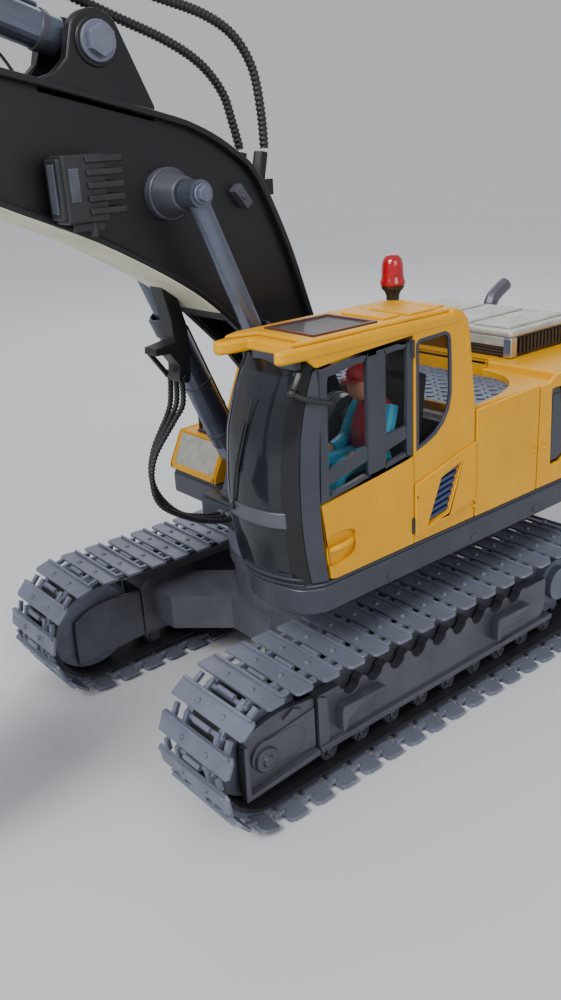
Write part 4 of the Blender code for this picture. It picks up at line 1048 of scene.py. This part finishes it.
def build_beacon():
    centre = (node_box("beacon_base")[0] + node_box("beacon_base")[1]) / 2
    place = (centre.x, centre.y, 0)
    base = Shape().lathe([(0, 193.4), (4.9, 193.4), (4.8, 192.4), (3.5, 191.2), (2.8, 189.4), (2.7, 186.6),
                          (0, 186.6)], place, "Z")
    base.made("beacon_foot", BLACK_MATT, "house", 0.2, stands_for=("beacon_base",))
    profile = [(0, 206.8), (1.5, 206.6), (2.8, 205.9), (3.9, 204.6), (4.5, 202.6), (4.7, 198), (4.9, 196.6),
               (5.4, 195.4),
               (5.5, 194.4), (5.1, 193.7), (0, 193.6)]
    lens = Shape().lathe(profile, place, "Z", 40)
    lens.made("beacon_dome", RED_LENS, "house", stands_for=("beacon_lens",))


# ---------------------------------------------------------------- house behind the cab
REAR = node_box("left_housing")[1].y
RIM = node_box("left_housing")[1].z
RIGHT_FRONT = node_box("right_housing")[0].y
HOOD_LOW, HOOD_TOP = node_box("engine_hood")


def build_deck():
    corner = smooth([(40.5, -72), (46, -76), (60, -78.5), (72, -77), (78.5, -73), (HOUSE_HALF, -66)], 4)
    plan = ([(-HOUSE_HALF, REAR), (-HOUSE_HALF, RIGHT_FRONT + 3), (-HOUSE_HALF + 3, RIGHT_FRONT),
             (-40.5, RIGHT_FRONT), (-38, -42), (40.5, -42)] + corner + [(HOUSE_HALF, REAR)])
    skirt = Shape().plate(plan, DECK_LOW, DECK_TOP - 1.6, axis="Z")
    skirt.plate(moved_in(plan, 0.7), DECK_TOP - 1.8, DECK_TOP, axis="Z")
    skirt.made("deck_skirt", SLATE_ABS, "house", 0.9, 3, stands_for=("deck",))
    clips = Shape()
    for y in (-30, 24, 70, 112):
        clips.block((HOUSE_HALF - 0.6, y - 2.4, DECK_LOW + 2), (HOUSE_HALF + 0.4, y + 2.4, DECK_LOW + 5))
    clips.made("deck_clips", SLATE_ABS, "house", 0.3)


def build_left_housing():
    front = [(24.6, FLOOR), (69.6, FLOOR), (69.6, 143.2), (60, 142.8), (40, 142.0), (24.6, 141.6)]
    rear = [(70.4, FLOOR), (REAR, FLOOR), (REAR, RIM), (88, RIM), (82, 145.4), (77.6, 142.6), (70.4, 142.4)]
    recess = [(79.2, 139.4), (88.4, 139.4), (92, 127), (93, 104), (88.6, 101.6), (80.6, 101.6)]
    walls = Shape().plate(front, SIDE_IN, HOUSE_HALF - 0.2)
    walls.plate(rear, SIDE_IN, HOUSE_HALF - 0.2, holes=(recess,))
    walls.made("left_housing_sides", YELLOW_ABS, "house", 0.6, 3, stands_for=("left_housing",))
    pocket = Shape().plate(moved_in(recess, -0.8), SIDE_IN - 1.6, SIDE_IN + 0.6)
    pocket.plate([(81.4, 104), (87.4, 104), (90.6, 106), (89.8, 125), (86.4, 136), (81, 136)], SIDE_IN + 0.4,
                 SIDE_IN + 1.3)
    pocket.made("left_housing_recess", SLATE_ABS, "house", 0.5)
    inner = smooth([(77.6, 24.8), (76.6, 38), (73.6, 52), (67.6, 65), (58, 74.6), (46, 79.2), (40, 79.6)], 4)
    coaming = Shape().plate(inner + [(40, 84), (SIDE_IN + 0.4, 84), (SIDE_IN + 0.4, 24.8)], 137.8, 142.8,
                            axis="Z")
    coaming.block((40, 24.6, 138), (SIDE_IN, 26, 141.4))
    coaming.made("left_housing_coaming", YELLOW_ABS, "house", 1.0, 3)
    shelf = Shape().block((40, 83.6, 138), (SIDE_IN + 0.2, REAR, RIM))
    shelf.made("left_housing_shelf", YELLOW_ABS, "house", 1.2, 3)


TREAD_PITCH = 5.2


def build_tray():
    low, high = node_box("tray_floor")
    reach = SIDE_IN - 0.4
    tread = Shape().block(low, (reach, high.y, high.z - 0.5))
    for i in range(int((reach - low.x) / TREAD_PITCH)):
        for j in range(int((high.y - low.y) / TREAD_PITCH)):
            place = Vector((low.x + 3 + TREAD_PITCH * i, low.y + 3 + TREAD_PITCH * j, 0))
            turn = Matrix.Rotation(math.radians(45 if (i + j) % 2 else -45), 4, "Z")
            bar = [turn @ Vector(p) for p in ((-1.9, 0, 0), (0, -0.6, 0), (1.9, 0, 0), (0, 0.6, 0))]
            tread.plate([(place.x + p.x, place.y + p.y) for p in bar], high.z - 0.6, high.z, axis="Z")
    tread.made("tread_plate", TREAD_ZINC, "house", stands_for=("tray_floor",))
    screws = Shape()
    for x in (low.x + 2.4, high.x - 2.4):
        for y in (low.y + 2.4, high.y - 2.4):
            screws.bar((x, y, high.z - 0.4), (x, y, high.z + 0.6), 1.3, sides=6)
    screws.made("tread_screws", BRIGHT_TRIM, "house")


def build_engine_walls():
    walls = Shape().block((-39.6, 84, FLOOR), (39.6, 87, RIM))
    walls.block((-39.6, REAR - 3, FLOOR), (39.6, REAR, RIM))
    walls.block((-39.6, 84, RIM - 3), (39.6, REAR, RIM))
    walls.made("engine_walls", YELLOW_ABS, "house", 1.0, 3, stands_for=("engine_housing",))


def build_hood():
    """The hood: a top with three lids, a brow, plated corners and dark grilles."""
    x, rear = HOOD_TOP.x, HOOD_TOP.y
    y, z = HOOD_LOW.y, HOOD_LOW.z
    eaves = HOOD_TOP.z - 4.4
    top = Shape().plate([(-x, y), (x, y), (x, rear), (-x, rear)], HOOD_TOP.z - 4.6, HOOD_TOP.z - 1.2,
                        axis="Z")
    top.made("hood_top", SILVER_PAINT, "house", 1.6, 4, stands_for=("engine_hood",))
    brow = Shape().block((-x + 4.6, y + 0.5, z + 5.2), (x - 4.6, y + 3.4, eaves))
    brow.made("hood_brow", SILVER_PAINT, "house", 0.8, 3)
    lids = Shape()
    for low, high in ((-x + 5, -9), (-6, 17), (20, x - 5)):
        lids.block((low, y + 5, HOOD_TOP.z - 1.6), (high, rear - 6, HOOD_TOP.z))
    lids.made("hood_lids", SILVER_PAINT, "house", 0.8, 3)
    corner = Shape()
    for sign in (-1, 1):
        low, high = sorted((sign * x, sign * (x - 5)))
        corner.block((low, y, z), (high, y + 5.4, eaves))
    corner.made("hood_corners", BRIGHT_TRIM, "house", 0.9, 3)
    sides = Shape()
    for sign in (-1, 1):
        face = sign * (x - 1.6)
        low, high = sorted((face, face - sign * 2))
        sides.block((low, y + 5.4, z), (high, rear - 1, eaves))
        low, high = sorted((face, face + sign * 1.2))
        for k in range(17):
            at = y + 8 + 3 * k
            sides.block((low, at, z + 1.4), (high, at + 1.6, HOOD_TOP.z - 5.6))
    sides.block((-x + 3, rear - 2.6, z), (x - 3, rear - 0.6, eaves))
    sides.block((-x + 3, y + 1.6, z), (x - 3, y + 4.0, z + 5.4))
    for k in range(3):
        sides.block((-x + 5, y + 0.9, z + 0.8 + 1.6 * k), (x - 5, y + 1.8, z + 1.6 + 1.6 * k))
    sides.made("hood_grilles", BROWN_GRILLE, "house", 0.25)


def build_right_housing():
    side = [(RIGHT_FRONT, FLOOR), (REAR, FLOOR), (REAR, RIM), (22, RIM), (10, 117), (4, 113), (-22.5, 112),
            (RIGHT_FRONT, 95)]
    walls = Shape().plate(side, -42.6, -40.2)
    walls.plate(side[:1] + [(23.6, FLOOR), (23.6, RIM)] + side[3:], -HOUSE_HALF, -SIDE_IN)
    vent = [(38, 112), (56, 112), (61, 128), (43, 128)]
    walls.plate([(24.4, FLOOR), (69.6, FLOOR), (69.6, RIM), (24.4, RIM)], -HOUSE_HALF, -SIDE_IN,
                holes=(vent,))
    recess = [(84, 139.4), (110, 139.4), (110, 101.6), (84, 101.6)]
    walls.plate([(70.4, FLOOR), (REAR, FLOOR), (REAR, RIM), (70.4, RIM)], -HOUSE_HALF, -SIDE_IN,
                holes=(recess,))
    grilles = Shape().plate(moved_in(recess[::-1], -1), -SIDE_IN + 1, -SIDE_IN + 3)
    grilles.plate([(20, 96), (REAR - 4, 96), (REAR - 4, 140), (20, 140)], -SIDE_IN + 1.2, -SIDE_IN + 2.4)
    for k in range(8):
        grilles.block((-SIDE_IN - 0.9, 83.4, 103 + 4.6 * k), (-SIDE_IN + 1.2, 110.6, 104.8 + 4.6 * k))
    for k in range(5):
        grilles.plate([(37.6 + k, 112.6 + 3.1 * k), (56.4 + k, 112.6 + 3.1 * k), (57 + k, 114.4 + 3.1 * k),
                       (38.2 + k, 114.4 + 3.1 * k)], -HOUSE_HALF + 0.2, -SIDE_IN + 1.2)
    grilles.made("right_housing_grilles", BLACK_MATT, "house", 0.25)
    latches = Shape()
    for y in (20.4, 27.6, 66.4, 73.6):
        latches.block((-HOUSE_HALF - 0.6, y - 0.9, 116), (-HOUSE_HALF + 0.4, y + 0.9, 120))
    latches.made("right_housing_latches", YELLOW_ABS, "house", 0.3)
    walls.made("right_housing_sides", YELLOW_ABS, "house", 0.6, 3, stands_for=("right_housing",))
    top = Shape().plate([(-22, 108.6), (3, 109.6), (11, 114.6), (23, 142.8), (22.4, RIM - 0.2), (9.6, 116.8),
                         (4, 112.8),
                         (-22, 111.8)], -SIDE_IN - 0.2, -42.4)
    top.block((-SIDE_IN - 0.2, 22, RIM - 3), (-42.4, REAR, RIM))
    top.block((-SIDE_IN - 0.2, REAR - 3, FLOOR), (-42.4, REAR - 0.2, RIM - 2))
    top.made("right_housing_top", YELLOW_ABS, "house", 0.8, 3)


def build_right_face():
    """The framed, sloping panel at the front of the right housing."""
    face = [(RIGHT_FRONT + 0.8, FLOOR + 3), (RIGHT_FRONT + 0.8, 95.4), (-22.9, 110.8), (-21.6, 108.6),
            (RIGHT_FRONT + 3.4, 94.6),
            (RIGHT_FRONT + 3.4, FLOOR + 3)]
    Shape().plate(face, -78.8, -43.4).made("right_housing_face", SILVER_PAINT, "house", 0.5)
    rim = Shape()
    frame_side = [(RIGHT_FRONT, FLOOR), (RIGHT_FRONT, 95), (-22.5, 112), (-19.8, 109.6),
                  (RIGHT_FRONT + 3.2, 93.6), (RIGHT_FRONT + 3.2, FLOOR)]
    rim.plate(frame_side, -HOUSE_HALF + 0.1, -78.2).plate(frame_side, -44, -40.4)
    rim.block((-80, RIGHT_FRONT, FLOOR), (-42, RIGHT_FRONT + 3.2, FLOOR + 3.6))
    rim.made("right_housing_rim", YELLOW_ABS, "house", 0.7, 3)


def build_right_rail():
    """The handrail and the two step pads beside it."""
    rails = Shape()
    for y in (-14, 2):
        rails.bar((-74, y, 111.6), (-74, y, 123), 1.1)
    rails.tube(smooth([(-74, -14, 122.4), (-74, -12, 124), (-74, 0, 124), (-74, 2, 122.4)], 5), 1.1)
    rails.made("right_handrail", BLACK_MATT, "house")
    step = Shape()
    for k in range(2):
        step.block((-70, -19 + 11 * k, 111.2), (-48, -11 + 11 * k, 113.4))
    step.made("right_step_pads", BLACK_MATT, "house", 0.3)


def build_counterweight():
    low, high = node_box("counterweight")
    half = [(81, low.y), (81, 166), (76, 176), (62, 182), (34, 185.4), (0, high.y)]
    plan = smooth(half, 4) + smooth([(-x, y) for x, y in reversed(half)], 4)[1:]
    inner = moved_in(plan, 1.2)
    base = Shape().plate(plan, low.z, 96, axis="Z")
    base = base.made("counterweight_base", YELLOW_ABS, "house", 1.4, 3, stands_for=("counterweight",))
    carve(base, Shape().block((-7.2, 160, 70), (7.2, 166, 83)))
    core = Shape().plate(inner, 95.8, 98.4, axis="Z").plate(inner, 132, 134.2, axis="Z")
    core.made("counterweight_grooves", SLATE_ABS, "house")
    Shape().plate(plan, 98, 132.4, axis="Z").made("counterweight_body", YELLOW_ABS, "house", 1.4, 3)
    Shape().plate(plan, 133.8, high.z, axis="Z").made("counterweight_cap", YELLOW_ABS, "house", 2.4, 4)
    bolts = Shape()
    for x in (-44, 44):
        bolts.bar((x, 172, high.z - 0.6), (x, 172, high.z + 1.6), 3.4, sides=6)
        bolts.bar((x, 172, high.z - 0.6), (x, 172, high.z + 0.5), 4.6)
    bolts.made("counterweight_bolts", FRAME_ZINC, "house", 0.2)


def build_power_switch():
    knob = Shape().block(*node_box("power_switch"))
    knob.made("switch_knob", BLACK_MATT, "power_switch", 0.5, stands_for=("power_switch",))


# ---------------------------------------------------------------- boom
BOOM_HALF = 17.5
BOOM_TOP = [(-1.6, 160), (-10.6, 185), (-21.3, 214.6), (-34.8, 241.3), (-47.4, 252.6), (-63.1, 261),
            (-81.5, 266.6), (-139, 280.9), (-205, 297)]
BOOM_BELLY = [(-205, 265.5), (-146.6, 238.6), (-111.3, 223), (-79.7, 205), (-59.9, 190), (-36, 166)]


def strip(line, thickness, x_start, x_end, shape=None):
    """A bent strip whose outer face follows line; its inner face lies thickness to the line's left."""
    inner = []
    for i, point in enumerate(line):
        way = (Vector(line[min(i + 1, len(line) - 1)]) - Vector(line[max(i - 1, 0)])).normalized()
        inner.append(tuple(Vector(point) + Vector((-way.y, way.x)) * thickness))
    return (shape or Shape()).plate(list(line) + inner[::-1], x_start, x_end)


def build_boom():
    top, belly = smooth(BOOM_TOP, 5), smooth(BOOM_BELLY, 5)
    outline = arc(BOOM_FOOT, 9.5, 215, 380, 14) + top + arc(ARM_PIVOT, 11.5, 80, 290, 16) + belly
    web = Shape()
    rims = Shape()
    for sign in (-1, 1):
        web.plate(moved_in(outline, 1.0), *sorted((sign * 11.2, sign * 14.0)))
        rims.plate(outline, *sorted((sign * 13.0, sign * BOOM_HALF)), holes=(moved_in(outline, 2.6),))
    web.made("boom_webs", POWDER_COAT, "boom", 0.3, stands_for=("boom",))
    rims.made("boom_rims", POWDER_COAT, "boom", 0.9, 3)
    skin = strip(top, 3.0, -13.4, 13.4)
    strip(belly[:-4], 2.6, -13.4, 13.4, skin)
    skin.made("boom_skins", POWDER_COAT, "boom", 0.4)
    # Painted highlight: a pale cream strip along the belly.
    belly_highlight = Shape()
    strip([(y - 0.12, z - 0.3) for y, z in belly[2:-5]], 1.4, -BOOM_HALF + 0.5, BOOM_HALF - 0.5, belly_highlight)
    belly_highlight.made("boom_belly_painted_highlight", BELLY_HIGHLIGHT_PAINT, "boom", 0.3)
    foot = Shape().cross(BOOM_FOOT, -20.6, 20.6, 8.5)
    for x_start, x_end in ((-20.2, -16), (16, 20.2)):
        foot.cross(BOOM_FOOT, x_start, x_end, 10.4)
    foot.made("boom_foot_boss", FRAME_ZINC, "boom", 0.7, 3)


def build_boom_lugs():
    """The arm ram's bracket, the boom rams' bosses and the bolt heads."""
    bracket = ([(-80, 262), (-79.6, 268)] + arc(ARM_RAM_FOOT, 10.5, 20, 150, 16)
               + [(-113, 284), (-118, 279.6), (-126, 277.2), (-126, 273)])
    cheeks = Shape()
    fixings = Shape()
    bosses = Shape()
    for sign in (-1, 1):
        cheeks.plate(bracket, *sorted((sign * 9, sign * 14)))
        cheeks.cross(ARM_RAM_FOOT, sign * 8.8, sign * 15.2, 8.2)
        hex_bolt(fixings, ARM_RAM_FOOT, sign * 15, sign * 19.4, 5.4)
        hex_bolt(fixings, ARM_PIVOT, sign * 17.2, sign * 19.9, 5.0)
        hex_bolt(fixings, BOOM_RAM_PIN, sign * 37.5, sign * 40.3, 2.9)
        bosses.cross(BOOM_RAM_PIN, sign * 13, sign * 17.6, 9.6)
        bosses.cross(BOOM_RAM_PIN, sign * 17.4, sign * 27.6, 8.8, 6.0)
        bosses.cross(BOOM_RAM_PIN, sign * 26, sign * 38, 2.6)
        bosses.cross(ARM_PIVOT, sign * 12.6, sign * 18.0, 9.6, 8.6)
    fixings.cross(ARM_RAM_FOOT, -10, 10, 2.6).cross(ARM_PIVOT, -14, 14, 3.0)
    cheeks.made("boom_ram_bracket", POWDER_COAT, "boom", 0.7, 3)
    fixings.made("boom_bolts", TRACK_ZINC, "boom", 0.3)
    bosses.made("boom_ram_bosses", FRAME_ZINC, "boom", 0.5, 3)


def build_hose_hanger():
    stem = [(-74, 204), (-70, 186), (-69.4, 177), (-79, 175.4), (-79.2, 172.4), (-72, 172.2), (-68, 166.6),
            (-68.6, 160.6), (-68, 158.8), (-62.4, 160.4), (-62, 182), (-66, 197)]
    loop = Shape().plate(stem, -14.2, -5)
    loop.bar((-20.5, -65, 160.2), (-4.6, -65, 160.2), 1.9)
    loop.plate([(-79, 172.6), (-77, 173), (-69.6, 163), (-71, 161.4)], -13.4, -11)
    loop.made("hose_hanger", POWDER_COAT, "boom", 0.5)


def build_boom_wires():
    """The thin wires along the boom's back, the loop at the arm ram, and the clip on the left rim."""
    lines = Shape()
    for x, lift in ((3.4, 1.4), (0.4, 1.2), (-2.6, 1.4)):
        route = [(x, y + lift * 0.9, z + lift * 0.4) for y, z in [(-1.0, 162)] + BOOM_TOP[1:4]]
        lines.tube(smooth(route + [(x, -29, 240)], 6), 0.75)
    lines.made("boom_back_wires", HOSE_RUBBER, "boom")
    loop_wire = Shape().tube(smooth([(-9, -120, 278), (-14, -126, 290), (-15, -140, 300), (-12, -160, 302),
                                     (-10, -178, 292)], 7), 0.6)
    loop_wire.made("arm_ram_wire", HOSE_RUBBER, "boom")
    clip = Shape().plate([(-49, 236), (-43.4, 229), (-40.6, 231.6), (-46, 239)], 13.4, 18.6)
    clip.bar((17, -45, 234), (19.4, -45, 234), 1.2, sides=6)
    clip.made("cable_clip", FRAME_ZINC, "boom", 0.3, slot="silver_paint")


def build_lamp():
    low, high = node_box("boom_lamp")
    x, end = low.x, high.x
    case = Shape().block((x + 0.4, low.y + 1.6, low.z + 5), (end - 1.2, high.y - 6, high.z - 0.6))
    case.block((x + 0.4, low.y, low.z + 6.4), (end - 2.2, low.y + 2.6, high.z - 1.6))
    case.block((x - 4, low.y + 6, low.z + 8), (x + 1.4, high.y - 8, high.z - 6))
    case.made("lamp_case", BLACK_MATT, "boom", 0.9, 3, stands_for=("boom_lamp",))
    fins = Shape()
    for k in range(5):
        z = high.z - 3.6 - 4.2 * k
        fins.block((x + 1.4, low.y + 10, z), (end, high.y, z + 2.3))
    fins.made("lamp_fins", BLACK_MATT, "boom", 0.5)
    lens = Shape().block((x + 2.6, low.y - 0.4, low.z + 8.4), (end - 4.4, low.y + 1, high.z - 3.4))
    lens.block((end - 1.8, low.y + 3.6, low.z + 12), (end - 0.9, low.y + 7.4, high.z - 5))
    lens.made("lamp_windows", LAMP_LENS, "boom", 0.4)
    yoke = Shape().block((end - 4, low.y + 4, low.z + 2.4), (end - 2.6, high.y - 8, low.z + 5.2))
    yoke.bar((end - 3.4, low.y + 12, low.z + 0.3), (end - 3.4, low.y + 12, low.z + 6), 1.5)
    yoke.made("lamp_stalk", BLACK_MATT, "boom", 0.3, slot="silver_paint")


HOSE_ROUTES = (
    ("boom_hose_left", 7, [(-24, 251.2), (-24.6, 265), (-27.7, 281), (-36, 292.5), (-49, 299.5), (-68, 304.4),
                           (-90, 309), (-120, 315.5), (-150, 322), (-166, 325.4)]),
    ("boom_hose_right", -7, [(-26, 251.4), (-29, 262), (-33.1, 273.4), (-43, 284), (-58.6, 292.3),
                             (-82, 300.5),
                             (-110, 310.5), (-140, 319.5), (-166, 325.4)]))


def build_hoses():
    low, high = node_box("hose_clamp")
    block = Shape().block((low.x, low.y + 1.4, low.z + 1.5), (high.x, high.y - 2, low.z + 8))
    for x in (7, -7):
        block.bar((x, high.y - 8, low.z + 7), (x, high.y - 5.4, high.z - 0.6), 3.2, sides=6)
        block.bar((x, high.y - 8, low.z + 5), (x, high.y - 5.6, high.z - 3), 2.4)
    block.made("hose_fittings", POWDER_COAT, "boom", 0.5, stands_for=("hose_clamp",))
    for name, x, route in HOSE_ROUTES:
        piece = corrugated([(x, y, z) for y, z in route], 2.05, 0.5)
        piece.made(name + "_ribbed", HOSE_RUBBER, "boom", stands_for=(name,), angle=60)
        end = route[-1]
        ferrule = Shape().bar((x, end[0] + 5, end[1] - 1.2), (x, end[0] + 0.6, end[1] - 0.1), 2.3)
        ferrule.made(name + "_ferrule", FRAME_ZINC, "boom", 0.2)
    for index, bulge in enumerate((-2.4, 0.4, 3.2)):
        x = -10 - 5 * index
        route = [(-65, 159.6), (-65, 148), (-69.6 + bulge / 2, 141), (-79.6 + bulge, 128),
                 (-82.6 + bulge, 116),
                 (-79 + bulge, 104), (-66, 93), (-52, 87.4), (-42.5, 86)]
        piece = corrugated([(x * (0.9 if z > 150 else 1.0), y, z) for y, z in route], 1.4, 0.38, 1.7)
        name = f"swivel_hose_{index + 1}"
        piece = piece.made(name + "_ribbed", HOSE_RUBBER, None, stands_for=(name,), angle=60)
        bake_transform(piece)
        collar = Shape().bar((x, -43.8, 86), (x, -41.4, 86), 2.1, sides=6)
        collar.made(name + "_collar", BRIGHT_TRIM, "house", 0.2)


# ---------------------------------------------------------------- arm, bucket and rams
ARM_TILT = math.radians(8.0)


def arm_point(down, out):
    """A place on the arm: down from its pivot, and out from its line, away from the cab."""
    down_way = Vector((-math.sin(ARM_TILT), -math.cos(ARM_TILT)))
    out_way = Vector((-math.cos(ARM_TILT), math.sin(ARM_TILT)))
    return tuple(Vector(ARM_PIVOT) + down_way * down + out_way * out)


BUCKET_LINK_PIN = tuple(Vector(BUCKET_PIVOT) + Vector(ROCKER_PIN) - Vector(ROCKER_PIVOT))
LIP_HEADING = math.radians(345.0) - ARM_TILT


def bucket_point(lip, back):
    """A place in the bucket: along the line from its pivot to the teeth, and behind that line."""
    lip_way = Vector((math.cos(LIP_HEADING), math.sin(LIP_HEADING)))
    back_way = Vector((math.sin(LIP_HEADING), -math.cos(LIP_HEADING)))
    return tuple(Vector(BUCKET_PIVOT) + lip_way * lip + back_way * back)


def build_arm():
    dress("arm", POWDER_COAT, 0.8, 3)
    ribs = Shape()
    line = [arm_point(*p) for p in ((-20, 9), (-4, 12.2), (20, 13), (60, 10.2), (100, 6.8), (112, 6.2))]
    back = [arm_point(*p) for p in ((112, -10.6), (100, -11), (40, -12), (0, -11.2), (-20, -8))]
    outline = line + back
    for sign in (-1, 1):
        ribs.plate(moved_in(outline, -1.2), *sorted((sign * 10.4, sign * 11.0)),
                   holes=(moved_in(outline, 2.0),))
    ribs.made("arm_flanges", POWDER_COAT, "arm", 0.25)
    pads = Shape()
    for down, out in ((132, 0), (146, -6), (160, -4)):
        for sign in (-1, 1):
            pads.cross(arm_point(down, out), sign * 7.8, sign * 8.5, 1.7, sides=6)
    for down in (10, 34, 58, 82, 106):
        for sign in (-1, 1):
            pads.cross(arm_point(down, -6.5), sign * 10.4, sign * 11.2, 1.2, sides=6)
    pads.made("arm_plate_bolts", TRACK_ZINC, "arm", 0.15)
    pipes = Shape()
    for x in (5, -5):
        pipes.tube(smooth([(x, *arm_point(p, 14.6 - 0.055 * p)) for p in (40, 60, 80, 100, 116)], 4), 0.9)
    pipes.made("arm_oil_lines", RAM_STEEL, "arm")
    pins = Shape()
    for sign in (-1, 1):
        hex_bolt(pins, ROCKER_PIVOT, sign * 12.2, sign * 14.2, 3.4)
        hex_bolt(pins, BUCKET_RAM_FOOT, sign * 8.6, sign * 10.4, 3.3)
        hex_bolt(pins, ARM_RAM_PIN, sign * 8.0, sign * 10.0, 3.6)
    pins.made("arm_bolts", TRACK_ZINC, "arm", 0.25)


def build_bucket():
    dress("bucket", POWDER_COAT, 0.7, 3)
    pins = Shape()
    for sign in (-1, 1):
        hex_bolt(pins, BUCKET_PIVOT, sign * 12.4, sign * 14.4, 3.4)
        hex_bolt(pins, BUCKET_LINK_PIN, sign * 12.4, sign * 14.4, 3.2)
    pins.made("bucket_bolts", TRACK_ZINC, "bucket", 0.25)
    cutters = Shape()
    for sign in (-1, 1):
        for along_lip in (64, 70, 76):
            cutters.cross(bucket_point(along_lip, 5.4), sign * 30.6, sign * 31.0, 1.6, sides=6)
    cutters.made("bucket_cutter_bolts", TRACK_ZINC, "bucket")


def build_rams():
    """Each ram's finish, the collars round its barrel and the oil pipe along it."""
    for ram, radius, foot, pin, length in (("boom_ram_left", 6.8, BOOM_RAM_FOOT, BOOM_RAM_PIN, 82),
                                           ("boom_ram_right", 6.8, BOOM_RAM_FOOT, BOOM_RAM_PIN, 82),
                                           ("arm_ram", 6.6, ARM_RAM_FOOT, ARM_RAM_PIN, 104),
                                           ("bucket_ram", 6.0, BUCKET_RAM_FOOT, ROCKER_PIN, 88)):
        barrel = ram + "_barrel"
        low, high = node_box(barrel)
        x = (low.x + high.x) / 2
        dress(barrel, RAM_STEEL, 0.4)
        dress(ram + "_rod", RAM_STEEL if ram.startswith("boom") else ROD_CHROME, 0.3)
        way = (Vector(pin) - Vector(foot)).normalized()
        turn = Vector((0, *way)).to_track_quat("Z", "Y").to_matrix().to_4x4()
        collars = Shape()
        for at, wide, extra in ((13.5, 3.0, 0.5), (length - 9, 8.6, 0.7), (length * 0.52, 2.2, 0.35)):
            ring = Shape(Matrix.Translation((x, *along(foot, pin, at))) @ turn)
            ring.lathe([(radius - 0.4, 0), (radius + extra, 0.4), (radius + extra, wide - 0.4),
                        (radius - 0.4, wide)], (0, 0, 0), "Z", 28)
            collars.take(ring.mesh)
        collars.made(ram + "_collars", FRAME_ZINC, barrel, 0.15)
        side = Vector((way.y, -way.x)) * (radius + 1.0)
        line = [Vector(along(foot, pin, at)) + side * share for at, share in
                ((16, 0.7), (17, 1.0), (length - 12, 1.0), (length - 9, 0.7))]
        pipe = Shape().tube([(x, *place) for place in line], 0.8)
        pipe.made(ram + "_oil_pipe", RAM_STEEL, barrel)


def dress_rest():
    for name in ("rocker", "link", "boom_foot_pin"):
        dress(name, FRAME_ZINC, 0.4)
    dress("boom_bracket", FRAME_ZINC, 0.6)
    dress("exhaust_pipe", FRAME_ZINC)
    dress("battery_pack", BLACK_MATT, 0.8)


build_camera()
build_floor()
build_lights()
build_undercarriage()
build_cab_side()
build_cab_tub()
build_roof()
build_windscreen()
build_wiper()
build_mirror_arm()
build_door_panel()
build_door_window()
build_door_hinges()
build_driver()
build_seat()
build_beacon()
build_deck()
build_left_housing()
build_tray()
build_engine_walls()
build_hood()
build_right_housing()
build_right_face()
build_right_rail()
build_counterweight()
build_power_switch()
build_boom()
build_boom_lugs()
build_hose_hanger()
build_boom_wires()
build_lamp()
build_hoses()
build_arm()
build_bucket()
build_rams()
dress_rest()
